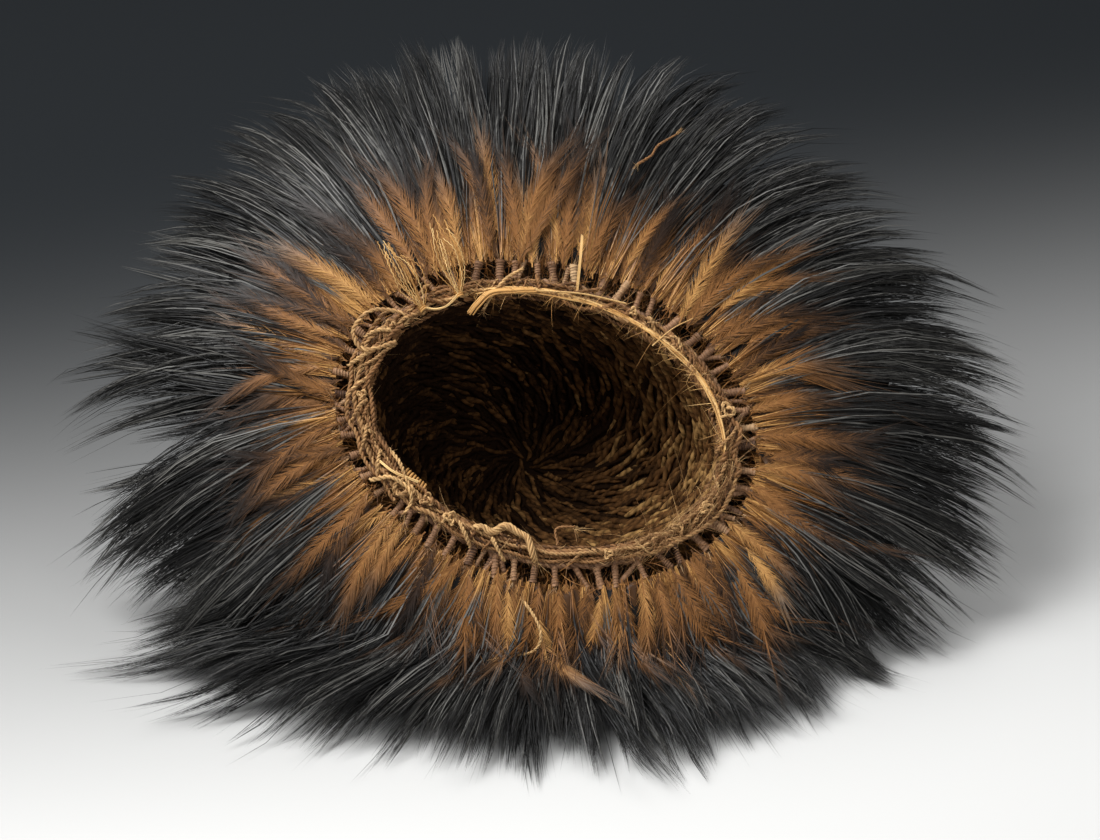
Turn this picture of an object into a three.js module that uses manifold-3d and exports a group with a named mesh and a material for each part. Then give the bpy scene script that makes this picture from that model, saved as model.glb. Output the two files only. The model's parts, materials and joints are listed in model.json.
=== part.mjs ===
// A feathered headdress lying on its crown: a hollow looped fibre cap with cords round its opening,
// bound quill posts and five rings of long feathers in pointed locks. Millimetres, +Z up. The viewer
// stands on the side of negative Y, and the opening faces them and upward.

import * as THREE from "three";
import { mergeVertices } from "three/addons/utils/BufferGeometryUtils.js";
import Module from "manifold-3d";

const wasm = await Module();
wasm.setup();

// How the cap lies, in millimetres and degrees.
const OPENING_CENTRE_HEIGHT = 115;
const OPENING_ELEVATION = 42;
const OPENING_ROLL = -17;

// The cap.
const OPENING_WIDTH = 192;
const OPENING_HEIGHT = 134;
const CAP_DEPTH = 110;
const CAP_WALL = 5;
const CAP_FULLNESS = 0.72;
const CROWN_SHIFT = -13;
const CAP_SEGMENTS = 40;
const CAP_BANDS = 9;

// The gap between pieces that touch, the gap between a ring of feathers and its seat, and half the gap
// between two neighbouring feather solids.
const CLEARANCE = 0.3;
const ROOT_GAP = 0.35;
const SEAM = 0.9;

// The cords round the opening and the quill posts that stand out from them.
const INNER_CORD_DIAMETER = 4.4;
const OUTER_CORD_DIAMETER = 4.8;
const CORD_SIDES = 5;
const CORD_STEPS = 52;
const POST_COUNT = 52;
const POST_DIAMETER = 4.2;
const POST_LENGTH = 11;
const POST_SIDES = 5;

// The pale strip along the upper edge of the opening, and the two short bundles of fibre.
const STRIP_WIDTH = 4;
const STRIP_THICKNESS = 1.2;
const STRIP_FROM = 0.02;
const STRIP_TO = 0.36;
const STRIP_STEPS = 24;
const TASSEL_LENGTH = 42;
const TASSEL_HEAD = 5;
const TASSEL_HEAD_SIDES = 8;
const TASSEL_STRIP = 1.8;
const TASSEL_STRIPS = 4;
const TASSEL_SPREAD = 14;
const TASSEL_RISE = 16;
const TASSEL_STEPS = 3;

// The feathers.
const FEATHER_LENGTH = 190;
const ROOT_THICKNESS = 5;
const TIP_THICKNESS = 1.4;
const PRESSED_THICKNESS = 4;
const VALLEY_THICKNESS = 0.6;
const VALLEY_REACH = 0.8;
const VALLEY_START = 0.3;
const LOCK_VARIATION = 0.05;
const LOCK_RHYTHM = 2.4;
const LOCK_STEPS = 6;
const PATH_STEPS = 24;
const COLUMNS_PER_LOCK = 2;

// One row for each ring of feathers. depth is its share of the way from the rim to the crown. lean is
// the angle from the plane of the opening towards the crown, and leanRise is what it gains at the top
// and loses at the bottom. reach is a share of the feather length, droop is how fast the feathers bend
// down, body is how much thicker the ring is half way out, and layer is how many other rings it lies on.
const FEATHER_RINGS = {
  rim: { depth: 0, lean: 4, leanRise: 0, reach: 1, droop: 0.75, body: 14, locks: 30, layer: 3 },
  second: { depth: 0.17, lean: 20, leanRise: 4, reach: 0.96, droop: 0.8, body: 16, locks: 26, layer: 2 },
  third: { depth: 0.36, lean: 36, leanRise: 8, reach: 0.92, droop: 0.85, body: 18, locks: 22, layer: 1 },
  fourth: { depth: 0.58, lean: 54, leanRise: 12, reach: 0.84, droop: 0.8, body: 16, locks: 18, layer: 0 },
  crown: { depth: 0.84, lean: 80, leanRise: 4, reach: 0.7, droop: 0.4, body: 8, locks: 14, layer: 0 },
};

// One row for each direction round the opening, from the right by way of the top: the share of its
// length that a feather shows there before its tip is bent away or tucked in.
const FAN = [
  { direction: 0, length: 0.93 },
  { direction: 45, length: 0.92 },
  { direction: 90, length: 1 },
  { direction: 135, length: 0.9 },
  { direction: 180, length: 0.88 },
  { direction: 225, length: 0.88 },
  { direction: 270, length: 0.7 },
  { direction: 315, length: 0.66 },
];

// How high one ring lies on another where both are pressed down on the floor, the share of its length
// at which a ring that lies on others starts to come down beyond them, and where it is on the floor.
const LAYER_HEIGHT = 4.6;
const LAYER_END = 0.72;
const FLOOR_START = 0.95;

// One row for each feather solid: its ring, and the locks of that ring where it starts and ends.
const FEATHER_SECTORS = [
  { name: "rim_row_upper", ring: "rim", from: -1, to: 16 },
  { name: "rim_row_lower", ring: "rim", from: 16, to: 29 },
  { name: "second_row_upper", ring: "second", from: 1, to: 12 },
  { name: "second_row_lower", ring: "second", from: 12, to: 27 },
  { name: "third_row_upper", ring: "third", from: 2, to: 9 },
  { name: "third_row_lower", ring: "third", from: 9, to: 24 },
  { name: "fourth_row_left", ring: "fourth", from: 4, to: 13 },
  { name: "fourth_row_right", ring: "fourth", from: 13, to: 22 },
  { name: "crown_row", ring: "crown", from: 0, to: 14 },
];

// One row for each fibre bundle: its share of the way round the opening.
const TASSELS = [
  { name: "raffia_tassel_left", place: 0.415 },
  { name: "raffia_tassel_right", place: 0.375 },
];

const COLOURS = {
  cap: 0x3a2715,
  cord: 0x8a6238,
  post: 0x7a5138,
  feather: 0x1b1c1e,
  strip: 0xc79c5e,
};
const FIBRE_ROUGHNESS = 0.9;
const FEATHER_ROUGHNESS = 0.45;

const radians = THREE.MathUtils.degToRad;
const FULL_TURN = 2 * Math.PI;
const ORIGIN = new THREE.Vector2();
const DOWN = new THREE.Vector3(0, 0, -1);
const MERGE_DISTANCE = 1e-4;

// The edge of the opening, and the radius where it bends most.
const openingEdge = new THREE.EllipseCurve(0, 0, OPENING_WIDTH / 2, OPENING_HEIGHT / 2);
const sharpestBend = (OPENING_HEIGHT / 2) ** 2 / (OPENING_WIDTH / 2);

// Offsets outward from the edge of the opening.
const innerCordOffset = INNER_CORD_DIAMETER / 2;
const outerCordOffset = CAP_WALL + CLEARANCE + OUTER_CORD_DIAMETER / 2 + cutInside(CORD_STEPS, 0);
const postEndOffset = outerCordOffset + POST_LENGTH;

// The way round the ends of the posts, and the frame of the opening: right, up its plane, out of the cap.
const postEndsX = OPENING_WIDTH / 2 + postEndOffset;
const postEndsY = OPENING_HEIGHT / 2 + postEndOffset;
const wayRound = new THREE.EllipseCurve(0, 0, postEndsX, postEndsY);
const opening = new THREE.Group();
opening.position.z = OPENING_CENTRE_HEIGHT;
opening.rotation.x = radians(90 - OPENING_ELEVATION);
opening.updateMatrixWorld(true);

// The size of the cap at a depth, as a share of its size at the opening.
function ringSize(depth) {
  return Math.max(Math.cos(depth * Math.PI / 2), 0) ** CAP_FULLNESS;
}

// How far straight stretches cut inside the ring at a depth, where it bends most, if so many close it.
function cutInside(count, depth) {
  return ringSize(depth) * (openingEdge.getLength() / count) ** 2 / (8 * sharpestBend);
}

// The angle at a share of the way round the opening, by length. The share may lie before 0 or past 1.
function angleAt(share) {
  const turns = Math.floor(share);
  return (turns + wayRound.getUtoTmapping(share - turns)) * FULL_TURN;
}

// A point of the oval that lies an offset outside the edge of the opening.
function ovalPoint(angle, offset) {
  const x = (OPENING_WIDTH / 2 + offset) * Math.cos(angle);
  const y = (OPENING_HEIGHT / 2 + offset) * Math.sin(angle);
  return new THREE.Vector2(x, y).rotateAround(ORIGIN, radians(OPENING_ROLL));
}

// The direction straight out of that oval.
function ovalNormal(angle, offset) {
  const x = Math.cos(angle) / (OPENING_WIDTH / 2 + offset);
  const y = Math.sin(angle) / (OPENING_HEIGHT / 2 + offset);
  return new THREE.Vector2(x, y).normalize().rotateAround(ORIGIN, radians(OPENING_ROLL));
}

// A point on the wall of the cap, an offset outside its inner face. depth runs from 0 to 1.
function capPoint(angle, depth, offset) {
  const ring = ovalPoint(angle, offset).multiplyScalar(ringSize(depth));
  const drop = (CAP_DEPTH + offset) * Math.sin(depth * Math.PI / 2);
  return new THREE.Vector3(ring.x + CROWN_SHIFT * depth * depth, ring.y, -drop);
}

// A closed solid from a geometry whose faces close it, with its faces turned outward.
function solidOf(geometry) {
  const bare = geometry.clone();
  bare.deleteAttribute("normal");
  bare.deleteAttribute("uv");
  const merged = mergeVertices(bare, MERGE_DISTANCE);
  const vertProperties = Float32Array.from(merged.attributes.position.array);
  const triVerts = Uint32Array.from(merged.index.array);
  const solid = new wasm.Manifold(new wasm.Mesh({ numProp: 3, vertProperties, triVerts }));
  if (solid.volume() > 0) {
    return solid;
  }
  return new wasm.Manifold(new wasm.Mesh({ numProp: 3, vertProperties, triVerts: triVerts.reverse() }));
}

// A geometry from a closed solid.
function geometryOf(solid) {
  const mesh = solid.getMesh();
  const geometry = new THREE.BufferGeometry();
  geometry.setAttribute("position", new THREE.BufferAttribute(Float32Array.from(mesh.vertProperties), 3));
  geometry.setIndex(new THREE.BufferAttribute(Uint32Array.from(mesh.triVerts), 1));
  geometry.computeVertexNormals();
  return geometry;
}

// A named mesh of one closed solid.
function piece(name, solid, color, roughness) {
  const mesh = new THREE.Mesh(geometryOf(solid), new THREE.MeshStandardMaterial({ color, roughness }));
  mesh.name = name;
  return mesh;
}

// The cap: an oval bowl of even wall. The lathe gives its grid, and each point then goes to its place.
function capSolid() {
  const profile = [];
  for (let band = 0; band <= CAP_BANDS; band += 1) {
    profile.push({ depth: 1 - band / CAP_BANDS, offset: CAP_WALL });
  }
  for (let band = 0; band <= CAP_BANDS; band += 1) {
    profile.push({ depth: band / CAP_BANDS, offset: 0 });
  }
  const outline = profile.map((row) => new THREE.Vector2(1 - row.depth, row.offset));
  const geometry = new THREE.LatheGeometry(outline, CAP_SEGMENTS);
  const position = geometry.attributes.position;
  for (let index = 0; index < position.count; index += 1) {
    const row = profile[index % profile.length];
    const turn = Math.floor(index / profile.length) % CAP_SEGMENTS;
    const point = capPoint(-turn / CAP_SEGMENTS * FULL_TURN, row.depth, row.offset);
    position.setXYZ(index, point.x, point.y, point.z);
  }
  return solidOf(geometry);
}

// A round cord that closes on itself along the oval at an offset, at a height out of the opening.
function ringCordSolid(offset, diameter, height) {
  const geometry = new THREE.TorusGeometry(1, diameter / 2, CORD_SIDES, CORD_STEPS);
  const position = geometry.attributes.position;
  for (let index = 0; index < position.count; index += 1) {
    const step = index % (CORD_STEPS + 1) % CORD_STEPS;
    const side = Math.floor(index / (CORD_STEPS + 1)) % CORD_SIDES;
    const angle = angleAt(step / CORD_STEPS);
    const around = side / CORD_SIDES * FULL_TURN;
    const centre = ovalPoint(angle, offset);
    const out = ovalNormal(angle, offset).multiplyScalar(diameter / 2 * Math.cos(around));
    position.setXYZ(index, centre.x + out.x, centre.y + out.y, height + diameter / 2 * Math.sin(around));
  }
  return solidOf(geometry);
}

// The outer cord with the bound quill posts that stand out from it, fused to it.
function quillPostsSolid() {
  const post = new THREE.CylinderGeometry(POST_DIAMETER / 2, POST_DIAMETER / 2, POST_LENGTH, POST_SIDES);
  post.translate(0, POST_LENGTH / 2, 0);
  const parts = [ringCordSolid(outerCordOffset, OUTER_CORD_DIAMETER, 0)];
  for (let index = 0; index < POST_COUNT; index += 1) {
    const angle = angleAt((index + 0.5) / POST_COUNT);
    const foot = ovalPoint(angle, outerCordOffset);
    const out = ovalNormal(angle, outerCordOffset);
    const placed = post.clone();
    placed.rotateZ(Math.atan2(out.y, out.x) - Math.PI / 2);
    placed.translate(foot.x, foot.y, 0);
    parts.push(solidOf(placed));
  }
  return wasm.Manifold.union(parts);
}

// The flat strip of fibre that lies on the inner cord along the top of the opening.
function fibreStripSolid() {
  const flat = new THREE.Shape();
  flat.moveTo(-STRIP_THICKNESS / 2, -STRIP_WIDTH / 2);
  flat.lineTo(STRIP_THICKNESS / 2, -STRIP_WIDTH / 2);
  flat.lineTo(STRIP_THICKNESS / 2, STRIP_WIDTH / 2);
  flat.lineTo(-STRIP_THICKNESS / 2, STRIP_WIDTH / 2);
  flat.closePath();
  const height = INNER_CORD_DIAMETER + 2 * CLEARANCE + STRIP_THICKNESS / 2;
  const points = [];
  for (let step = 0; step <= STRIP_STEPS; step += 1) {
    const angle = angleAt(STRIP_FROM + (STRIP_TO - STRIP_FROM) * step / STRIP_STEPS);
    const place = ovalPoint(angle, innerCordOffset);
    points.push(new THREE.Vector3(place.x, place.y, height));
  }
  const extrudePath = new THREE.CatmullRomCurve3(points);
  return solidOf(new THREE.ExtrudeGeometry(flat, { steps: STRIP_STEPS, extrudePath }));
}

// A short bundle of fibre: a knot seated on the inner cord, with strips fused to it that fan outward.
function tasselSolid(place) {
  const angle = angleAt(place);
  const foot = ovalPoint(angle, innerCordOffset);
  const out = ovalNormal(angle, innerCordOffset);
  const height = INNER_CORD_DIAMETER + 2 * CLEARANCE + TASSEL_HEAD / 2;
  const head = new THREE.SphereGeometry(TASSEL_HEAD / 2, TASSEL_HEAD_SIDES, TASSEL_HEAD_SIDES / 2);
  head.translate(foot.x, foot.y, height);
  const square = new THREE.Shape();
  square.moveTo(-TASSEL_STRIP / 2, -TASSEL_STRIP / 2);
  square.lineTo(TASSEL_STRIP / 2, -TASSEL_STRIP / 2);
  square.lineTo(TASSEL_STRIP / 2, TASSEL_STRIP / 2);
  square.lineTo(-TASSEL_STRIP / 2, TASSEL_STRIP / 2);
  square.closePath();
  const parts = [solidOf(head)];
  for (let strip = 0; strip < TASSEL_STRIPS; strip += 1) {
    const side = (strip / (TASSEL_STRIPS - 1) - 0.5) * TASSEL_SPREAD;
    const points = [];
    for (let step = 0; step <= TASSEL_STEPS; step += 1) {
      const share = step / TASSEL_STEPS;
      const x = foot.x + out.x * TASSEL_LENGTH * share - out.y * side * share;
      const y = foot.y + out.y * TASSEL_LENGTH * share + out.x * side * share;
      points.push(new THREE.Vector3(x, y, height + TASSEL_RISE * Math.sin(share * Math.PI / 2)));
    }
    const extrudePath = new THREE.CatmullRomCurve3(points);
    parts.push(solidOf(new THREE.ExtrudeGeometry(square, { steps: TASSEL_STEPS, extrudePath })));
  }
  return wasm.Manifold.union(parts);
}

// Where the feathers of a ring start, at an angle round the opening: a distance out from their seat,
// which is the ends of the posts for the ring at the rim, and the wall of the cap for the others.
function featherRoot(ring, angle, distance) {
  const gap = ROOT_GAP + cutInside(ring.locks * COLUMNS_PER_LOCK, ring.depth);
  if (ring.depth === 0) {
    const rim = ovalPoint(angle, postEndOffset + gap + distance);
    return new THREE.Vector3(rim.x, rim.y, 0).applyMatrix4(opening.matrixWorld);
  }
  return capPoint(angle, ring.depth, CAP_WALL + gap + distance).applyMatrix4(opening.matrixWorld);
}

// The share of the feather length that shows in a direction, smoothly between the rows of the fan.
function fanLength(normal) {
  const turn = THREE.MathUtils.euclideanModulo(Math.atan2(normal.y, normal.x) / FULL_TURN, 1) * FAN.length;
  const row = Math.floor(turn);
  const blend = THREE.MathUtils.smoothstep(turn - row, 0, 1);
  return THREE.MathUtils.lerp(FAN[row].length, FAN[(row + 1) % FAN.length].length, blend);
}

// The height of the middle of a ring's feathers where they are pressed down, at a share of their length.
function restHeight(ring, share) {
  const raised = 1 - THREE.MathUtils.smoothstep(share, LAYER_END, FLOOR_START);
  return ring.layer * LAYER_HEIGHT * raised + PRESSED_THICKNESS / 2;
}

// The path of a feather from its root to its tip. It starts straight out, bends down, and where it
// comes to the floor it lies along it.
function featherPath(ring, angle) {
  const normal = ovalNormal(angle, postEndOffset);
  const lean = radians(ring.lean + ring.leanRise * normal.y);
  const start = new THREE.Vector3(normal.x * Math.cos(lean), normal.y * Math.cos(lean), -Math.sin(lean));
  start.transformDirection(opening.matrixWorld);
  const pace = FEATHER_LENGTH * ring.reach * fanLength(normal) / PATH_STEPS;
  const path = [featherRoot(ring, angle, 0)];
  for (let step = 0; step < PATH_STEPS; step += 1) {
    const last = path[step];
    const share = (step + 1) / PATH_STEPS;
    const way = start.clone().addScaledVector(DOWN, ring.droop * share).normalize().multiplyScalar(pace);
    const lowest = restHeight(ring, share);
    if (last.z + way.z < lowest) {
      const rise = THREE.MathUtils.clamp(lowest - last.z, -pace, pace);
      const level = new THREE.Vector3(way.x, way.y, 0).setLength(Math.sqrt(pace * pace - rise * rise));
      way.set(level.x, level.y, rise);
    }
    path.push(last.clone().add(way));
  }
  return path;
}

// The point of a path at a share of its length.
function alongPath(path, share) {
  const place = share * PATH_STEPS;
  const step = Math.min(Math.floor(place), PATH_STEPS - 1);
  return path[step].clone().lerp(path[step + 1], place - step);
}

// The share of the full length that a column of a ring reaches: far at a lock, short between two.
function columnReach(column) {
  if (column % COLUMNS_PER_LOCK === 0) {
    return VALLEY_REACH;
  }
  return 1 - LOCK_VARIATION * (1 + Math.sin(column * LOCK_RHYTHM));
}

// The thickness of a ring at a column and a share of its length, where its middle is at a height.
function columnThickness(ring, column, share, height) {
  const full = THREE.MathUtils.lerp(ROOT_THICKNESS, TIP_THICKNESS, share) + ring.body * Math.sin(share * Math.PI);
  const thickness = Math.min(full, PRESSED_THICKNESS + 2 * (height - restHeight(ring, share)));
  if (column % COLUMNS_PER_LOCK !== 0) {
    return thickness;
  }
  return thickness * THREE.MathUtils.lerp(1, VALLEY_THICKNESS, Math.min(share / VALLEY_START, 1));
}

// A stretch of a feather ring: a sheet of pointed locks fused at their roots into one band. A box gives
// its grid, and each point then goes to its place.
function featherSolid(sector) {
  const ring = FEATHER_RINGS[sector.ring];
  const columns = (sector.to - sector.from) * COLUMNS_PER_LOCK;
  const first = sector.from * COLUMNS_PER_LOCK;
  const pitch = ringSize(ring.depth) * wayRound.getLength() / ring.locks / COLUMNS_PER_LOCK;
  const seam = SEAM / pitch;
  const angles = [];
  for (let column = 0; column <= columns; column += 1) {
    const inside = THREE.MathUtils.clamp(column, seam, columns - seam);
    angles.push(angleAt((first + inside) / COLUMNS_PER_LOCK / ring.locks));
  }
  const paths = angles.map((angle) => featherPath(ring, angle));
  const geometry = new THREE.BoxGeometry(1, 1, 1, columns, LOCK_STEPS, 1);
  const position = geometry.attributes.position;
  for (let index = 0; index < position.count; index += 1) {
    const column = Math.round((position.getX(index) + 0.5) * columns);
    const share = (position.getY(index) + 0.5) * columnReach(first + column);
    const side = Math.sign(position.getZ(index));
    const before = alongPath(paths[Math.max(column - 1, 0)], share);
    const after = alongPath(paths[Math.min(column + 1, columns)], share);
    const here = alongPath(paths[column], share);
    const near = alongPath(paths[column], Math.max(share - 1 / PATH_STEPS, 0));
    const far = alongPath(paths[column], Math.min(share + 1 / PATH_STEPS, 1));
    if (share === 0) {
      far.copy(featherRoot(ring, angles[column], 1));
    }
    const face = after.sub(before).cross(far.sub(near)).normalize();
    here.addScaledVector(face, side * columnThickness(ring, first + column, share, here.z) / 2);
    position.setXYZ(index, here.x, here.y, Math.max(here.z, 0));
  }
  return solidOf(geometry);
}

const headdress = new THREE.Group();
const rimCord = ringCordSolid(innerCordOffset, INNER_CORD_DIAMETER, INNER_CORD_DIAMETER / 2 + CLEARANCE);
opening.add(piece("cap", capSolid(), COLOURS.cap, FIBRE_ROUGHNESS));
opening.add(piece("rim_cord", rimCord, COLOURS.cord, FIBRE_ROUGHNESS));
opening.add(piece("quill_posts", quillPostsSolid(), COLOURS.post, FIBRE_ROUGHNESS));
opening.add(piece("fibre_strip", fibreStripSolid(), COLOURS.strip, FIBRE_ROUGHNESS));
for (const tassel of TASSELS) {
  opening.add(piece(tassel.name, tasselSolid(tassel.place), COLOURS.strip, FIBRE_ROUGHNESS));
}
headdress.add(opening);
for (const sector of FEATHER_SECTORS) {
  headdress.add(piece(sector.name, featherSolid(sector), COLOURS.feather, FEATHER_ROUGHNESS));
}

// The origin is the middle of the floor that the headdress covers.
headdress.updateMatrixWorld(true);
const extent = new THREE.Box3().setFromObject(headdress, true);
const middle = extent.getCenter(new THREE.Vector3());
headdress.position.set(-middle.x, -middle.y, -extent.min.z);

export default headdress;
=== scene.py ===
"""A feathered headdress lying on its crown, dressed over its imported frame.

The cap is a bowl of looped, twisted cord. Thick cords run round its opening, bound quill posts stand out
from them, and five rings of long feathers grow from the posts and the outside of the cap. Every strand,
cord and ridge is a mesh built from arrays. All sizes are in metres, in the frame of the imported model.
"""
import json
import logging
import math
from dataclasses import dataclass, field
from enum import Enum

import bpy
import numpy as np
from bpy.types import Material, Node, NodeSocket, Object, ShaderNodeTree
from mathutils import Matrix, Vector
from numpy.random import Generator


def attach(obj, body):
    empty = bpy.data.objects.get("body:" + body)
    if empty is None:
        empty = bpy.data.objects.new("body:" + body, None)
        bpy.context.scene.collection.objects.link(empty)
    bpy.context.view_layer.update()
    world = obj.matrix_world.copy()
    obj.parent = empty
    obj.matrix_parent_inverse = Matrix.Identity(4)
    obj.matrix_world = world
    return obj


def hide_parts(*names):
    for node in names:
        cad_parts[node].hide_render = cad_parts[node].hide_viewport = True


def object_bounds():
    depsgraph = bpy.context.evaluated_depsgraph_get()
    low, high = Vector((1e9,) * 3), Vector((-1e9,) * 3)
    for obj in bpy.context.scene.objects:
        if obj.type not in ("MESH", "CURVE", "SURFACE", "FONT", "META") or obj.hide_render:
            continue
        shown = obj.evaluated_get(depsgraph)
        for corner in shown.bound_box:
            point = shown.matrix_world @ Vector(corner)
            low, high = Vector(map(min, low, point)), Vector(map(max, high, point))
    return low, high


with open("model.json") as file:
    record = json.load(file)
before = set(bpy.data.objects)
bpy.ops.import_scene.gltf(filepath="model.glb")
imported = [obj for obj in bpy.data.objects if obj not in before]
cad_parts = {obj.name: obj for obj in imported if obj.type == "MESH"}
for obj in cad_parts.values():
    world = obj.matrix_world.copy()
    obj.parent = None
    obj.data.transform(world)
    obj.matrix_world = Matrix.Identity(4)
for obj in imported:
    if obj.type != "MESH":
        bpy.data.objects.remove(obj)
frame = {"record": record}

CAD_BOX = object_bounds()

LOG = logging.getLogger("headdress")
MM = 0.001
DEG = math.pi / 180
FULL_TURN = 2 * math.pi
BODY = "root"
SHADE_MAP = "OFBake"
SHADES = 64
NUMBER = "NodeSocketFloat"
COLOUR = "NodeSocketColor"
SHADE_MARGIN = 0.12
HEAD_SEAT = frame["record"]["mounts"][0]["pos_m"]
FLOOR_CLEARANCE = 0.4 * MM
FRAY_WIDTH = 0.34 * MM
LOOSE_SPACING = 1.1 * MM
LOOSE_TAPER = 0.75
TINY_TURN = 1e-3
PHASES = (0, 6)

Array = np.ndarray
Colour = tuple[float, float, float]
Tones = tuple[Colour, Colour, Colour]
Span = tuple[float, float]


def unit(vectors: Array) -> Array:
    """Vectors scaled to length one along their last axis."""
    return vectors / np.maximum(np.linalg.norm(vectors, axis=-1, keepdims=True), 1e-12)


def ease(low: float, high: float, value: Array) -> Array:
    """A smooth step from 0 at low to 1 at high."""
    share = np.clip((value - low) / (high - low), 0, 1)
    return share * share * (3 - 2 * share)


def blend(near: Array, far: Array, share: Array) -> Array:
    """The value a share of the way from near to far."""
    return near + (far - near) * share


class Slot(Enum):
    """The material slots of the record."""

    CAP = "cap_fibre"
    CORD = "cord_fibre"
    BINDING = "quill_binding"
    PALE = "pale_fibre"
    FEATHER = "feather"


@dataclass
class StrandMesh:
    """Gathers ribbons and tubes as arrays, and writes them as one mesh.

    Each strand has a shade, which is its column on the shade map, and runs from 0 to 1 up that map.
    """

    points: list[Array] = field(default_factory=list)
    corners: list[Array] = field(default_factory=list)
    sizes: list[Array] = field(default_factory=list)
    places: list[Array] = field(default_factory=list)
    count: int = 0

    def _keep(self, points: Array, faces: Array, places: Array) -> None:
        """Keep points, the faces that join them, and the place of each corner on the shade map.

        Args:
            points: The points, as rows of three.
            faces: One row of point numbers for each face, counted from the first of these points.
            places: The place on the shade map of each corner of each face.
        """
        self.points.append(points.reshape(-1, 3))
        self.corners.append((faces + self.count).reshape(-1))
        self.sizes.append(np.full(len(faces), faces.shape[1], dtype=np.int32))
        self.places.append(places.reshape(-1, 2))
        self.count += points.reshape(-1, 3).shape[0]

    def grids(self, points: Array, shade: Array, along: Array, closed: bool = True) -> None:
        """Add tubes or sheets, each a grid of points.

        Args:
            points: The points, as (grids, rows, columns, 3).
            shade: The shade of each grid, from 0 to 1.
            along: The place along the strand of each row, as (grids, rows).
            closed: Whether the last column joins the first, as round a tube.
        """
        grids, rows, columns = points.shape[:3]
        spans = columns if closed else columns - 1
        across = np.linspace(SHADE_MARGIN, 1 - SHADE_MARGIN, spans + 1)
        row, column = np.meshgrid(np.arange(rows - 1), np.arange(spans), indexing="ij")
        row, column = row.reshape(-1), column.reshape(-1)
        after = (column + 1) % columns
        face = np.stack([row * columns + column, row * columns + after,
                         (row + 1) * columns + after, (row + 1) * columns + column], -1)
        faces = face[None] + (np.arange(grids) * rows * columns)[:, None, None]
        cell = np.clip(np.round(shade * (SHADES - 1)), 0, SHADES - 1)[:, None, None]
        side = np.stack([across[column], across[column + 1], across[column + 1], across[column]], -1)
        u = (cell + side[None]) / SHADES
        v = along[:, np.stack([row, row, row + 1, row + 1], -1)]
        self._keep(points, faces.reshape(-1, 4), np.stack([u, np.broadcast_to(v, u.shape)], -1))

    def ribbons(self, path: Array, side: Array, shade: Array, along: Array) -> None:
        """Add flat strands that end in a point.

        Args:
            path: The middle of each strand, as (strands, rows, 3).
            side: Half its width as a vector in each row but the last, as (strands, rows - 1, 3).
            shade: The shade of each strand, from 0 to 1.
            along: The place along the strand of each row, as (strands, rows).
        """
        strands, rows = path.shape[:2]
        body = np.stack([path[:, :-1] - side, path[:, :-1] + side], 2)
        grid = body.reshape(strands, (rows - 1) * 2, 3)
        points = np.concatenate([grid, path[:, -1:]], 1)
        each = 2 * rows - 1
        first = (np.arange(strands) * each)[:, None, None]
        cell = np.clip(np.round(shade * (SHADES - 1)), 0, SHADES - 1)[:, None, None]
        low, high = SHADE_MARGIN, 1 - SHADE_MARGIN
        row = np.arange(rows - 2)
        face = np.stack([row * 2, row * 2 + 1, row * 2 + 3, row * 2 + 2], -1)
        u = (cell + np.array([low, high, high, low])) / SHADES
        u = np.broadcast_to(u, (strands, rows - 2, 4))
        v = along[:, np.stack([row, row, row + 1, row + 1], -1)]
        start = self.count
        self._keep(points, (face[None] + first).reshape(-1, 4), np.stack([u, v], -1))
        tip = np.array([[rows * 2 - 4, rows * 2 - 3, rows * 2 - 2]])
        faces = (tip[None] + first).reshape(-1, 3) + start
        u = np.broadcast_to((cell + np.array([low, high, 0.5])) / SHADES, (strands, 1, 3))
        v = along[:, np.array([[rows - 2, rows - 2, rows - 1]])]
        self.corners.append(faces.reshape(-1))
        self.sizes.append(np.full(strands, 3, dtype=np.int32))
        self.places.append(np.stack([u, v], -1).reshape(-1, 2))

    def triangles(self) -> int:
        """The number of triangles that the kept faces make."""
        return int(sum((size - 2).sum() for size in self.sizes))

    def build(self, name: str, material: Material, slot: Slot) -> Object:
        """Write the kept faces as one object that rides on the body.

        Args:
            name: The name of the piece.
            material: The material of the whole piece.
            slot: The record's slot; not used.

        Returns:
            The new object.
        """
        points = np.concatenate(self.points)
        corners = np.concatenate(self.corners).astype(np.int32)
        sizes = np.concatenate(self.sizes)
        mesh = bpy.data.meshes.new(name)
        mesh.vertices.add(len(points))
        mesh.vertices.foreach_set("co", points.astype(np.float32).reshape(-1))
        mesh.loops.add(len(corners))
        mesh.loops.foreach_set("vertex_index", corners)
        mesh.polygons.add(len(sizes))
        starts = np.concatenate([[0], np.cumsum(sizes)[:-1]]).astype(np.int32)
        mesh.polygons.foreach_set("loop_start", starts)
        mesh.polygons.foreach_set("use_smooth", np.ones(len(sizes), dtype=bool))
        layer = mesh.uv_layers.new(name=SHADE_MAP)
        layer.uv.foreach_set("vector", np.concatenate(self.places).astype(np.float32).reshape(-1))
        mesh.materials.append(material)
        mesh.update(calc_edges=True)
        piece = bpy.data.objects.new(name, mesh)
        bpy.context.scene.collection.objects.link(piece)
        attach(piece, BODY)
        LOG.info("%s: %d triangles", name, self.triangles())
        return piece


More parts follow.
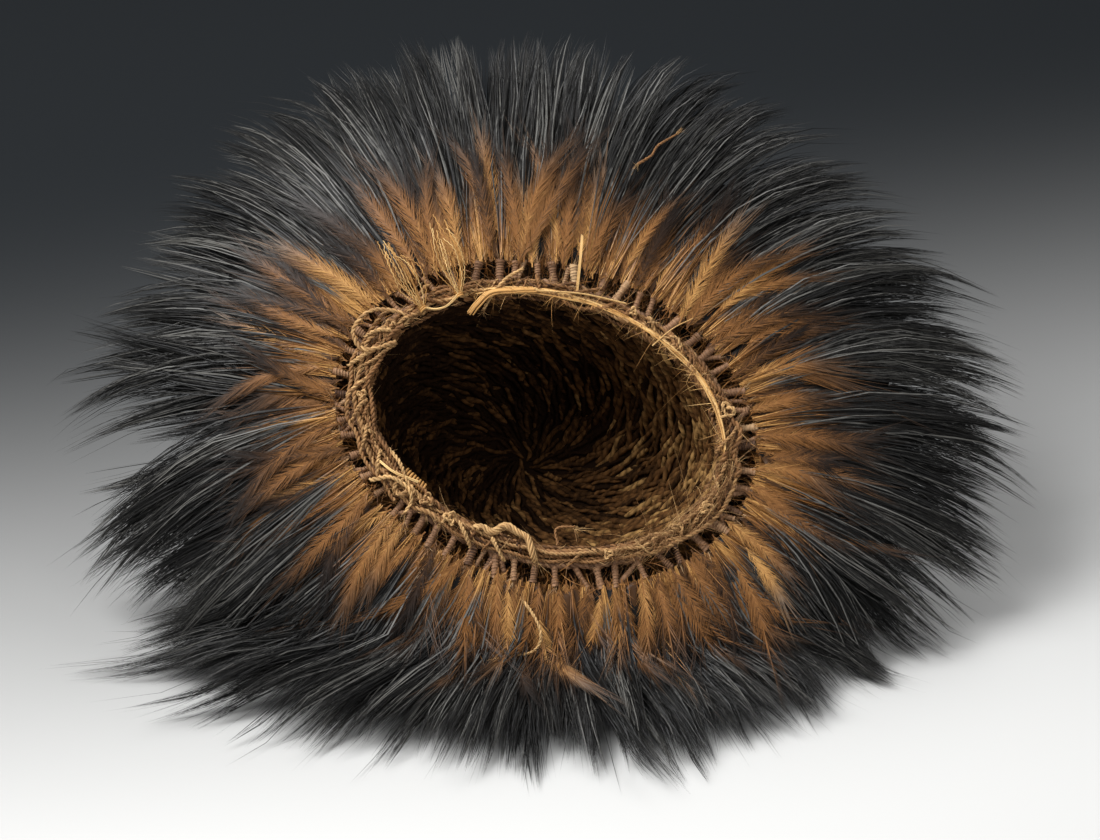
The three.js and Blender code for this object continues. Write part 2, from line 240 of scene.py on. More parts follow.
@dataclass(frozen=True)
class Opening:
    """The tilted oval opening of the cap, and the bowl behind it."""

    centre: tuple[float, float, float]
    elevation: float = 42 * DEG
    roll: float = -17 * DEG
    half_width: float = 96 * MM
    half_height: float = 67 * MM
    cap_depth: float = 110 * MM
    wall: float = 5 * MM
    fullness: float = 0.72
    crown_shift: float = -13 * MM
    gap: float = 0.3 * MM
    inner_cord: float = 4.4 * MM
    outer_cord: float = 4.8 * MM
    cord_stretches: int = 52
    post_length: float = 11 * MM
    table_steps: int = 2048

    def edge_length(self) -> float:
        """The length of the edge of the opening."""
        turn = np.linspace(0, FULL_TURN, self.table_steps)
        edge = np.stack([self.half_width * np.cos(turn), self.half_height * np.sin(turn)], -1)
        return float(np.linalg.norm(np.diff(edge, axis=0), axis=1).sum())

    def ring_size(self, depth: Array) -> Array:
        """The size of the cap at a depth, as a share of its size at the opening."""
        return np.maximum(np.cos(np.asarray(depth) * math.pi / 2), 0) ** self.fullness

    def cut_inside(self, count: float, depth: float) -> float:
        """How far straight stretches cut inside a ring where it bends most, if so many close it."""
        bend = self.half_height ** 2 / self.half_width
        return float(self.ring_size(depth)) * (self.edge_length() / count) ** 2 / (8 * bend)

    def outer_cord_offset(self) -> float:
        """The offset of the outer cord from the edge of the opening."""
        return self.wall + self.gap + self.outer_cord / 2 + self.cut_inside(self.cord_stretches, 0)

    def post_end_offset(self) -> float:
        """The offset of the ends of the quill posts from the edge of the opening."""
        return self.outer_cord_offset() + self.post_length

    def axes(self) -> Array:
        """The frame of the opening as rows: right, up its plane, and out of the cap."""
        sine, cosine = math.sin(self.elevation), math.cos(self.elevation)
        return np.array([[1, 0, 0], [0, sine, cosine], [0, -cosine, sine]])

    def world(self, local: Array) -> Array:
        """Points of the opening's frame in the frame of the model."""
        return np.array(self.centre) + local @ self.axes()

    def turned(self, x: Array, y: Array) -> Array:
        """A flat direction turned by the roll of the oval."""
        cosine, sine = math.cos(self.roll), math.sin(self.roll)
        return np.stack([x * cosine - y * sine, x * sine + y * cosine], -1)

    def oval(self, angle: Array, offset: Array) -> Array:
        """A flat point that lies an offset outside the edge of the opening."""
        x, y = (self.half_width + offset) * np.cos(angle), (self.half_height + offset) * np.sin(angle)
        return self.turned(x, y)

    def outward(self, angle: Array, offset: float) -> Array:
        """The flat direction straight out of the oval at an offset."""
        x, y = np.cos(angle) / (self.half_width + offset), np.sin(angle) / (self.half_height + offset)
        return unit(self.turned(x, y))

    def angle_at(self, share: Array) -> Array:
        """The angle at a share of the way round the post ends, by length."""
        share = np.asarray(share, dtype=float)
        turn = np.linspace(0, 1, self.table_steps)
        reach = self.post_end_offset()
        x = (self.half_width + reach) * np.cos(turn * FULL_TURN)
        y = (self.half_height + reach) * np.sin(turn * FULL_TURN)
        length = np.concatenate([[0], np.cumsum(np.hypot(np.diff(x), np.diff(y)))])
        return (np.floor(share) + np.interp(share % 1, length / length[-1], turn)) * FULL_TURN

    def cap_point(self, angle: Array, depth: Array, offset: Array) -> Array:
        """A point on the wall of the cap, an offset outside its inner face."""
        depth = np.asarray(depth, dtype=float)
        ring = self.oval(angle, offset) * self.ring_size(depth)[..., None]
        drop = (self.cap_depth + offset) * np.sin(depth * math.pi / 2)
        x = ring[..., 0] + self.crown_shift * depth * depth
        return self.world(np.stack(np.broadcast_arrays(x, ring[..., 1], -drop), -1))

    def rim_point(self, share: Array, offset: Array, height: Array) -> Array:
        """A point by the rim: a share of the way round, an offset outward, and a height out of the cap."""
        flat = self.oval(self.angle_at(share), offset)
        return self.world(np.concatenate([flat, np.broadcast_to(height, flat.shape[:-1])[..., None]], -1))


def swept(path: Array, radius: Array, sides: int, flatness: float = 1.0) -> Array:
    """A tube along one path, as a grid of points.

    Args:
        path: The points of the path, as rows of three.
        radius: Its radius at each point, or one radius.
        sides: How many sides it has.
        flatness: Its thickness as a share of its width.

    Returns:
        The points, as (1, rows, sides, 3).
    """
    normal, binormal = carried_frame(path)
    turn = np.linspace(0, FULL_TURN, sides, endpoint=False)
    radius = np.broadcast_to(radius, len(path))[:, None, None]
    cosine, sine = np.cos(turn)[None, :, None], np.sin(turn)[None, :, None]
    ring = normal[:, None] * cosine + binormal[:, None] * sine * flatness
    return (path[:, None] + ring * radius)[None]


def carried_frame(path: Array) -> tuple[Array, Array]:
    """Two directions across a path, carried along it without twist."""
    tangent = unit(np.gradient(path, axis=0))
    normal = np.zeros_like(path)
    seed = np.eye(3)[np.argmin(np.abs(tangent[0]))]
    normal[0] = unit(seed - tangent[0] * (seed @ tangent[0]))
    for step in range(1, len(path)):
        carried = normal[step - 1] - tangent[step] * (normal[step - 1] @ tangent[step])
        normal[step] = unit(carried)
    return normal, np.cross(tangent, normal)


def read_at(lines: Array, row: Array) -> Array:
    """Points of a path at rows between its own rows."""
    own = np.arange(len(lines))
    return np.stack([np.interp(row, own, lines[:, axis]) for axis in range(3)], -1)


def smooth_path(points: Array, spacing: float, finer: int = 12) -> Array:
    """An even path through chosen points, rounded at each of them.

    Args:
        points: The chosen points, as rows of three.
        spacing: The distance between the points of the result.
        finer: How many steps each stretch between two chosen points is first cut into.

    Returns:
        The points of the smooth path.
    """
    padded = np.concatenate([2 * points[:1] - points[1:2], points, 2 * points[-1:] - points[-2:-1]])
    fine = []
    for before, near, far, after in zip(padded, padded[1:], padded[2:], padded[3:]):
        t = np.linspace(0, 1, finer, endpoint=False)[:, None]
        fine.append(0.5 * (2 * near + (far - before) * t + (2 * before - 5 * near + 4 * far - after) * t ** 2
                           + (3 * near - before - 3 * far + after) * t ** 3))
    fine = np.concatenate(fine + [points[-1:]])
    length = np.concatenate([[0], np.cumsum(np.linalg.norm(np.diff(fine, axis=0), axis=1))])
    steps = max(int(length[-1] / spacing), 3)
    even = np.linspace(0, length[-1], steps + 1)
    return np.stack([np.interp(even, length, fine[:, axis]) for axis in range(3)], -1)


@dataclass(frozen=True)
class PlyShape:
    """How plies sit in a cord, as shares of its diameter: how far from its middle, and their radius."""

    offset: float
    radius: float


PLY_SHAPES = {2: PlyShape(0.25, 0.285), 3: PlyShape(0.27, 0.285), 5: PlyShape(0.32, 0.17)}


@dataclass
class CordMaker:
    """Lays twisted cords into a mesh, each of plies that wind round its middle line."""

    mesh: StrandMesh
    random: Generator
    twist: float = 2.1
    sides: int = 4
    looseness: float = 0.28
    unevenness: float = 0.08
    uneven_pace: float = 0.37
    shade_spread: float = 0.1
    knot_opening: float = 0.3
    knot_steps: int = 30
    knot_taper: float = 0.8
    hair_rows: int = 5
    hair_halves: Span = (0.5, 0.3)

    def _sway(self, count: int, size: float) -> Array:
        """Small smooth offsets along a path, as rows of three."""
        pace = self.random.uniform(0.06, 0.5, (1, 3, 3))
        phase = self.random.uniform(0, FULL_TURN, (1, 3, 3))
        return np.sin(np.arange(count)[:, None, None] * pace + phase).mean(1) * size

    def lay(self, path: Array, diameter: float, plies: int, shade: float, taper: float = 1.0) -> None:
        """Lay one cord.

        Args:
            path: The middle line, in even steps.
            diameter: The diameter of the whole cord.
            plies: How many plies are twisted together.
            shade: Its shade, from 0 to 1.
            taper: The share of its diameter that is left at its far end.
        """
        path = path + self._sway(len(path), diameter * self.looseness)
        normal, binormal = carried_frame(path)
        step = np.linalg.norm(np.diff(path, axis=0), axis=1).mean()
        turn = np.arange(len(path)) * step / (self.twist * diameter) * FULL_TURN
        size = diameter * np.linspace(1, taper, len(path))
        phase = np.arange(len(path)) * self.uneven_pace + self.random.uniform(0, FULL_TURN)
        size = size * (1 + self.unevenness * np.sin(phase))
        shape = PLY_SHAPES[plies]
        for ply in range(plies):
            around = turn + ply / plies * FULL_TURN
            away = normal * np.cos(around)[:, None] + binormal * np.sin(around)[:, None]
            centre = path + away * (size * shape.offset)[:, None]
            tube = swept(centre, size * shape.radius, self.sides)
            tone = np.array([np.clip(shade + self.random.normal(0, self.shade_spread), 0, 1)])
            self.mesh.grids(tube, tone, np.linspace(0, 1, len(path))[None])

    def knot(self, centre: Array, axes: Array, size: float, diameter: float, shade: float) -> None:
        """Lay one overhand knot with two short ends.

        Args:
            centre: Its middle.
            axes: Three directions as rows: two across the knot and one out of it.
            size: Its reach from the middle.
            diameter: The diameter of its cord.
            shade: Its shade, from 0 to 1.
        """
        turn = np.linspace(self.knot_opening, FULL_TURN - self.knot_opening, self.knot_steps)[:, None]
        flat = np.concatenate([np.sin(turn) + 2 * np.sin(2 * turn), np.cos(turn) - 2 * np.cos(2 * turn),
                               -np.sin(3 * turn)], 1)
        self.lay(centre + flat @ axes * size / 3, diameter, 2, shade, self.knot_taper)

    def hairs(self, start: Array, way: Array, length: Array, spread: float, width: float, shade: Array,
              reach: float = 1.0) -> None:
        """Lay loose fibres that leave their starts and curl away.

        Args:
            start: Where each fibre starts, as rows of three.
            way: The direction that each one sets out in.
            length: The length of each one.
            spread: How far directions and curls stray.
            width: The width of a fibre.
            shade: The shade of each one.
            reach: How far up the shade map the fibres run.
        """
        count, rows = len(start), self.hair_rows
        way = unit(way + self.random.normal(0, spread, (count, 3)))
        bend = self.random.normal(0, spread, (count, 3))
        share = np.linspace(0, 1, rows)[None, :, None]
        path = start[:, None] + (way[:, None] * share + bend[:, None] * share ** 2) * length[:, None, None]
        path[..., 2] = np.maximum(path[..., 2], FLOOR_CLEARANCE)
        side = unit(np.cross(way, self.random.normal(0, 1, (count, 3))))
        half = np.linspace(*self.hair_halves, rows - 1)[None, :, None] * width
        along = np.broadcast_to(share[..., 0] * reach, (count, rows))
        self.mesh.ribbons(path, side[:, None] * half, shade, along)


@dataclass
class LoopedCap:
    """The bowl of the cap: a thin shell with rings of slanted, twisted loops of cord on its inner face."""

    opening: Opening
    random: Generator
    around: int = 96
    bands: int = 30
    shell_recess: float = 1.4 * MM
    loop_radius: float = 1.8 * MM
    loop_length: float = 25 * MM
    loop_spacing: float = 5.3 * MM
    ring_spacing: float = 7.6 * MM
    slant_at_rim: float = 54 * DEG
    slant_at_crown: float = 10 * DEG
    loop_sides: int = 5
    loop_rows: int = 10
    first_ring: float = 0.3
    fewest_loops: int = 5
    shallowest: float = 0.012
    deepest: float = 0.9985
    line_steps: int = 400
    circle_steps: int = 90
    angle_noise: float = 0.24
    depth_noise: float = 0.012
    slant_noise: float = 0.14
    sunk: float = 1.1
    bead_wide: float = 1.04
    bead_narrow: float = 0.86
    side_depth: float = -50 * MM

    def shell(self, mesh: StrandMesh) -> None:
        """Add the closed shell that the loops lie in. It takes the darkest tone, painted shade in the gaps
        between the loops.
        """
        angle = np.linspace(0, FULL_TURN, self.around, endpoint=False)
        inner = np.linspace(0, 1, self.bands + 1)
        outer = inner[::-1]
        depth = np.concatenate([inner, outer])
        offset = np.repeat([self.shell_recess, self.opening.wall], len(inner))
        grid = self.opening.cap_point(angle[None, :], depth[:, None], offset[:, None])
        closed = np.concatenate([grid, grid[:1]])
        mesh.grids(closed[None], np.array([0.0]), np.linspace(0, 1, len(closed))[None])

    def loops(self, mesh: StrandMesh) -> None:
        """Add the loops, ring by ring from the rim to the crown."""
        fine = np.linspace(self.shallowest, self.deepest, self.line_steps)
        line = self.opening.cap_point(np.zeros(self.line_steps), fine, 0.0)
        length = np.concatenate([[0], np.cumsum(np.linalg.norm(np.diff(line, axis=0), axis=1))])
        rings = int(length[-1] / self.ring_spacing)
        for ring in range(rings):
            depth = float(np.interp((ring + self.first_ring) * self.ring_spacing, length, fine))
            turn, deep = np.linspace(0, FULL_TURN, self.circle_steps), np.full(self.circle_steps, depth)
            circle = np.linalg.norm(np.diff(self.opening.cap_point(turn, deep, 0.0), axis=0), axis=1).sum()
            self._ring(mesh, ring, depth, max(int(circle / self.loop_spacing), self.fewest_loops))

    def _ring(self, mesh: StrandMesh, ring: int, depth: float, count: int) -> None:
        """Add one ring of loops.

        Args:
            mesh: The mesh to add to.
            ring: The number of the ring, from the rim.
            depth: The depth of its middle.
            count: How many loops it has.
        """
        random = self.random
        angle = (np.arange(count) + 0.5 * (ring % 2) + random.normal(0, self.angle_noise, count)) / count
        angle = angle * FULL_TURN
        depth = depth + random.normal(0, self.depth_noise, count) * (1 - depth ** 4)
        depth = np.clip(depth, self.shallowest, self.deepest)
        here = self.opening.cap_point(angle, depth, 0.0)
        down = unit(self.opening.cap_point(angle, np.minimum(depth + TINY_TURN, 1), 0.0) - here)
        round_way = unit(self.opening.cap_point(angle - TINY_TURN, depth, 0.0) - here)
        inward = unit(np.cross(down, round_way))
        middle = self.opening.world(np.array([self.opening.crown_shift / 2, 0, self.side_depth]))
        inward = inward * np.sign(((middle - here) * inward).sum(-1))[:, None]
        slant = blend(self.slant_at_rim, self.slant_at_crown, depth ** 1.5)
        slant = slant + random.normal(0, self.slant_noise, count) * blend(1, 0.4, depth)
        way = unit(down * np.cos(slant)[:, None] + round_way * np.sin(slant)[:, None])
        across = np.cross(inward, way)
        length = self.loop_length * random.uniform(0.6, 1.2, count) * blend(1, 0.6, depth ** 3)
        radius = self.loop_radius * random.uniform(0.72, 1.2, count) * blend(1, 0.8, depth ** 3)
        share = np.linspace(0, 1, self.loop_rows)
        arch = np.sin(share * math.pi)
        bead = np.where(np.arange(self.loop_rows) % 2 == 1, self.bead_wide, self.bead_narrow)
        thick = bead * np.clip(2.6 * np.sqrt(arch), 0.55, 1)
        proud = random.uniform(0.7, 2.2, count) * blend(1, 0.5, depth ** 3)
        lift = ((-self.sunk + proud[:, None] * arch[None]) * MM)[..., None]
        wave = random.normal(0, 0.06, count)[:, None] * arch[None]
        wave = wave + random.normal(0, 0.05, count)[:, None] * np.sin(share * FULL_TURN)[None]
        sway = (wave * length[:, None])[..., None]
        path = here[:, None] + way[:, None] * ((share - 0.5)[None] * length[:, None])[..., None]
        path = path + inward[:, None] * lift + across[:, None] * sway
        turn = np.linspace(0, FULL_TURN, self.loop_sides, endpoint=False)
        cosine, sine = np.cos(turn)[None, :, None], np.sin(turn)[None, :, None]
        round_tube = across[:, None, :] * cosine + inward[:, None, :] * sine
        tube = path[:, :, None] + round_tube[:, None] * (radius[:, None] * thick[None])[..., None, None]
        local = (here - np.array(self.opening.centre)) @ self.opening.axes().T / self.opening.half_width
        # Each loop's shade: random tone plus painted light, lighter toward the right wall, darker toward the
        # top of the opening and deeper in the bowl
        painted_light_shade = 0.33 + 0.28 * local[:, 0] - 0.2 * local[:, 1] - 0.14 * depth + random.normal(0, 0.22, count)
        mesh.grids(tube, np.clip(painted_light_shade, 0.02, 1), np.broadcast_to(share, (count, self.loop_rows)))

    def build(self, material: Material) -> Object:
        """Build the whole cap, which stands for its CAD node."""
        mesh = StrandMesh()
        self.shell(mesh)
        self.loops(mesh)
        piece = mesh.build("looped_cap", material, Slot.CAP)
        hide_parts("cap")
        return piece


@dataclass(frozen=True)
class LooseEnd:
    """A loose cord or strip: its places as share round, offset and height in mm, and its make-up."""

    places: tuple[tuple[float, float, float], ...]
    diameter: float
    shade: float
    plies: int = 2

    def path(self, opening: Opening) -> Array:
        """Its smooth middle line over the rim."""
        share, offset, height = np.array(self.places).T
        return smooth_path(opening.rim_point(share, offset * MM, height * MM), LOOSE_SPACING)


CORD_ENDS = {
    "looped_end": LooseEnd(((0.462, -3, 6), (0.478, 3, 9), (0.486, 11, 9), (0.475, 19, 9), (0.455, 19, 9),
                            (0.438, 11, 9), (0.43, 3, 6)), 3.1 * MM, 0.8),
    "short_end_left": LooseEnd(((0.395, 14, 6), (0.415, 8, 9), (0.44, 4, 5)), 2.7 * MM, 0.66),
    "crossing_end_top": LooseEnd(((0.31, 15, 5), (0.33, 6, 8), (0.345, -2, 7), (0.355, -7, 2)),
                                 2.4 * MM, 0.85),
    "left_crossing": LooseEnd(((0.465, -3, 5), (0.49, 2, 8), (0.505, 10, 4)), 2.3 * MM, 0.7),
    "lower_bundle": LooseEnd(((0.715, 3, 6), (0.735, -2, 7), (0.75, -5, 6), (0.765, -3, 8), (0.775, 3, 8),
                              (0.78, 9, 5)), 5.2 * MM, 0.85, 5),
    "lower_hook": LooseEnd(((0.8, -1, 5), (0.8, -10, 5), (0.82, -12, 2)), 2.0 * MM, 0.62),
    "lower_left_end": LooseEnd(((0.585, 0, 6), (0.61, -2, 9), (0.635, 2, 8), (0.66, 5, 5)), 2.6 * MM, 0.85),
    "left_pale_end": LooseEnd(((0.612, 16, 5), (0.62, 8, 9), (0.637, 4, 9), (0.65, 8, 8), (0.655, 15, 6)),
                              2.9 * MM, 1.0),
    "right_cross_end": LooseEnd(((0.02, -2, 4), (0.035, 4, 8), (0.05, 11, 5)), 2.4 * MM, 0.6),
    "top_short_end": LooseEnd(((0.235, 12, 5), (0.25, 7, 8), (0.275, 3, 6)), 2.5 * MM, 0.5),
}
PALE_ENDS = {
    "twig": LooseEnd(((0.155, 22, 8), (0.16, 10, 10), (0.163, -3, 5)), 1.4 * MM, 0.8),
    "upright_strip": LooseEnd(((0.264, 36, 12), (0.261, 22, 12), (0.257, 5, 6)), 1.7 * MM, 0.85),
    "strip_end": LooseEnd(((0.372, -8, 2), (0.362, -5, 6), (0.345, 0, 8), (0.32, 1, 8), (0.3, 2, 8)),
                          4.2 * MM, 0.5),
    "strip_loop": LooseEnd(((0.33, 4, 6), (0.29, 2, 9), (0.25, 5, 9), (0.21, 9, 7)), 1.8 * MM, 0.75),
    "joined_foot": LooseEnd(((0.415, 3, 9), (0.406, -1, 8), (0.395, -2, 8), (0.384, 0, 8), (0.375, 3, 9)),
                            2.0 * MM, 0.85),
    "pale_strap": LooseEnd(((0.6, 7, 8), (0.618, 4, 9), (0.64, -2, 8)), 1.8 * MM, 0.95),
}
WRAPPING = LooseEnd(((0.622, -1, 5), (0.635, -1.5, 5), (0.65, -2, 4)), 4.8 * MM, 0.3)


@dataclass(frozen=True)
class Knot:
    """A knot on the rim: its share of the way round, and its offset and size in mm."""

    share: float
    offset: float
    size: float


KNOTS = (Knot(0.065, 7, 4.2), Knot(0.637, 5, 5.0), Knot(0.66, 2, 3.4), Knot(0.69, 3, 3.4),
         Knot(0.925, 3, 2.8), Knot(0.96, 5, 3.4), Knot(0.53, 5, 2.4), Knot(0.85, 4, 2.4),
         Knot(0.45, 6, 2.6), Knot(0.2, 7, 2.2))


@dataclass(frozen=True)
class RimCord:
    """A thin cord all the way round the rim: offset, height, sway and diameter in mm, and its shade."""

    offset: float
    height: float
    sway: float
    diameter: float
    shade: float


RIM_CORDS = (RimCord(5.2, 2.6, 0.9, 3.0, 0.5), RimCord(2.8, 5.6, 1.2, 2.4, 0.62),
             RimCord(-0.4, 0.4, 0.6, 2.6, 0.4), RimCord(7.4, 3.9, 1.2, 2.3, 0.56))
WOVEN_CROSSINGS = (0.455, 0.482, 0.512, 0.535, 0.562, 0.59, 0.622, 0.7, 0.735)


@dataclass
class Rim:
    """The cords round the opening, the stitches that tie them, and their loose fibres."""

    opening: Opening
    random: Generator
    rough_length: float = 560 * MM
    cord_spacing: float = 1.15 * MM
    sway_waves: tuple[int, ...] = (5, 9, 14, 23)
    lift_waves: tuple[int, ...] = (6, 11, 17, 26)
    inner_sway: float = 0.5 * MM
    inner_shade: float = 0.55
    stitches: int = 58
    stitch_steps: int = 14
    stitch_slants: Span = (0.004, 0.026)
    bare_from: float = 0.735
    bare_to: float = 0.865
    bare_share: float = 0.7
    wanderers: int = 30
    wanderer_height: float = 4.8 * MM
    woven_from: float = 0.43
    woven_to: float = 0.66
    woven_rows: int = 4
    woven_row_end: float = 0.64
    woven_row_step: float = 4.0
    crossing_rise: float = 3.2 * MM
    crossing_width: float = 2.5 * MM
    fray_count: int = 1900
    tangle_share: float = 0.3
    tangle_places: Span = (0.86, 1.02)
    end_frays: int = 16
    knot_height: float = 7 * MM

    def _ring_path(self, offset: float, height: float, sway: float) -> Array:
        """A closed path round the opening that sways a little from its place."""
        steps = int(self.opening.edge_length() / self.cord_spacing)
        share = np.linspace(0, 1, steps + 1)
        phase = self.random.uniform(0, FULL_TURN, 4)
        wave = sum(np.sin(share * FULL_TURN * turns + late) for late, turns in zip(phase, self.sway_waves))
        lift = sum(np.cos(share * FULL_TURN * turns + late) for late, turns in zip(phase, self.lift_waves))
        return self.opening.rim_point(share, offset + sway * wave / 3, height + sway * lift / 3)

    def cords(self, maker: CordMaker) -> None:
        """Lay the thick inner cord, and thinner ones between it and the outer cord."""
        inner = self.opening.inner_cord
        path = self._ring_path(inner / 2, inner / 2 + self.opening.gap, self.inner_sway)
        maker.lay(path, inner, 3, self.inner_shade)
        for cord in RIM_CORDS:
            path = self._ring_path(cord.offset * MM, cord.height * MM, cord.sway * MM)
            maker.lay(path, cord.diameter * MM, 2, cord.shade)

    def short_stitches(self, maker: CordMaker) -> None:
        """Lay the short slanted stitches over the cords, few of them where the rim is bare."""
        random = self.random
        for index in range(self.stitches):
            share = (index + random.uniform(-0.3, 0.3)) / self.stitches
            if self.bare_from < share < self.bare_to and random.uniform() < self.bare_share:
                continue
            slant = random.choice([-1, 1]) * random.uniform(*self.stitch_slants)
            t = np.linspace(0, 1, self.stitch_steps)
            start = random.uniform(-0.6, 1.0) * MM
            offset = blend(start, random.uniform(6.5, 11.5) * MM, t)
            arch = np.sin(t * math.pi) ** 0.7
            height = blend(1.6 * MM, 1.5 * MM, t) + random.uniform(3.6, 6.0) * MM * arch
            path = self.opening.rim_point(share + slant * t, offset, height)
            width = random.uniform(1.5, 2.8) * MM
            maker.lay(path, width, 2, np.clip(random.normal(0.5, 0.22), 0.1, 1))

    def wandering_cords(self, maker: CordMaker) -> None:
        """Lay the longer cords that wander among the others, but not where the rim is bare or woven."""
        random = self.random
        for index in range(self.wanderers):
            share = (index + random.uniform(-0.4, 0.4)) / self.wanderers
            span = random.uniform(0.05, 0.13)
            t = np.linspace(0, 1, int(span * self.rough_length / self.cord_spacing))
            row = random.uniform(-0.5, 10.5) * MM
            middle = share + span / 2
            if self.bare_from < middle < self.bare_to or self.woven_from < middle < self.woven_to:
                continue
            sway = random.uniform(0.6, 3.2) * MM
            offset = row + sway * np.sin(t * FULL_TURN * random.uniform(0.5, 2.0) + random.uniform(*PHASES))
            lift = random.uniform(0.3, 1.6) * MM
            wave = np.sin(t * FULL_TURN * random.uniform(1, 3) + random.uniform(*PHASES))
            path = self.opening.rim_point(share + span * t, offset, self.wanderer_height + lift * wave)
            size = random.uniform(1.8, 3.4) * MM
            maker.lay(path, size, 2, np.clip(random.normal(0.45, 0.25), 0.05, 1))

    def woven_side(self, maker: CordMaker) -> None:
        """Lay the thick rows at the left, side by side, and the short pale cords across them."""
        random = self.random
        for row in range(self.woven_rows):
            start = self.woven_from + random.uniform(0, 0.02)
            end = self.woven_row_end + random.uniform(0, 0.05)
            share = np.linspace(start, end, int((end - start) * self.rough_length / self.cord_spacing))
            sway = 1.0 * MM * np.sin(np.linspace(0, 26, len(share)) + 2.3 * row)
            offset = (0.4 + self.woven_row_step * row) * MM + sway
            height = (6.4 - 0.5 * row) * MM + 0.9 * MM * np.sin(np.linspace(0, 31, len(share)) + 2 * row)
            path = self.opening.rim_point(share, offset, height)
            maker.lay(path, random.uniform(2.5, 3.2) * MM, 2, 0.4 + 0.07 * row)
        for place in WOVEN_CROSSINGS:
            t = np.linspace(0, 1, self.stitch_steps)
            lean = random.uniform(0.01, 0.03)
            start = random.uniform(1, 4) * MM
            offset = blend(start, random.uniform(11, 14.5) * MM, t)
            height = blend(6.5, 3.5, t) * MM + self.crossing_rise * np.sin(t * math.pi) ** 0.6
            path = self.opening.rim_point(place + lean * t, offset, height)
            maker.lay(path, self.crossing_width, 2, random.uniform(0.75, 1.0))

    def frays(self, maker: CordMaker) -> None:
        """Lay the loose fibres that stand out of the cords, most of them in the tangle at the right."""
        random, count = self.random, self.fray_count
        share = random.uniform(0, 1, count)
        tangle = random.uniform(0, 1, count) < self.tangle_share
        share = np.where(tangle, random.uniform(*self.tangle_places, count), share)
        offset = random.uniform(-1, 10, count) * MM
        height = random.uniform(2.5, 6.5, count) * MM
        start = self.opening.rim_point(share, offset, height)
        ahead = self.opening.rim_point(share + TINY_TURN, offset, height) - start
        way = unit(ahead) * random.choice([-1, 1], count)[:, None] + 0.5 * self.opening.axes()[2]
        length = random.gamma(3, 1.5, count) * np.where(tangle, 2.0, 1.0) * MM
        maker.hairs(start, way, length, 0.55, FRAY_WIDTH, random.uniform(0.35, 1, count))

    def loose_ends(self, maker: CordMaker) -> None:
        """Lay the loops, ends and knots of cord that lie loose on the rim."""
        random, count = self.random, self.end_frays
        for end in CORD_ENDS.values():
            path = end.path(self.opening)
            maker.lay(path, end.diameter, end.plies, end.shade, LOOSE_TAPER)
            start = path[-1] + random.normal(0, 0.5, (count, 3)) * MM
            way = np.broadcast_to(unit(path[-1] - path[-6]), (count, 3))
            length = random.uniform(2, 8, count) * MM
            maker.hairs(start, way, length, 0.4, FRAY_WIDTH, random.uniform(0.5, 1, count))
        for knot in KNOTS:
            centre = self.opening.rim_point(np.array(knot.share), knot.offset * MM, self.knot_height)
            spin = random.uniform(0, FULL_TURN)
            axes = self.opening.axes()
            across = axes[0] * math.cos(spin) + axes[1] * math.sin(spin)
            turned = np.stack([across, np.cross(axes[2], across), axes[2]])
            diameter = (1.3 + 0.3 * knot.size) * MM
            maker.knot(centre, turned, knot.size * MM, diameter, random.uniform(0.7, 1.0))

    def build(self, material: Material) -> Object:
        """Build the corded rim, which stands for its CAD node."""
        mesh = StrandMesh()
        maker = CordMaker(mesh, self.random)
        self.cords(maker)
        self.short_stitches(maker)
        self.wandering_cords(maker)
        self.woven_side(maker)
        self.loose_ends(maker)
        self.frays(maker)
        piece = mesh.build("corded_rim", material, Slot.CORD)
        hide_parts("rim_cord")
        return piece


@dataclass(frozen=True)
class PostKind:
    """One kind of quill post: how far it leans round the rim, its rise in mm, and its range of sizes."""

    lean: float
    rise: float
    sizes: Span


UPRIGHT_POST = PostKind(0.004, 0.4, (0.72, 1.15))
CROSSING_POST = PostKind(0.009, -1.2, (0.5, 0.75))


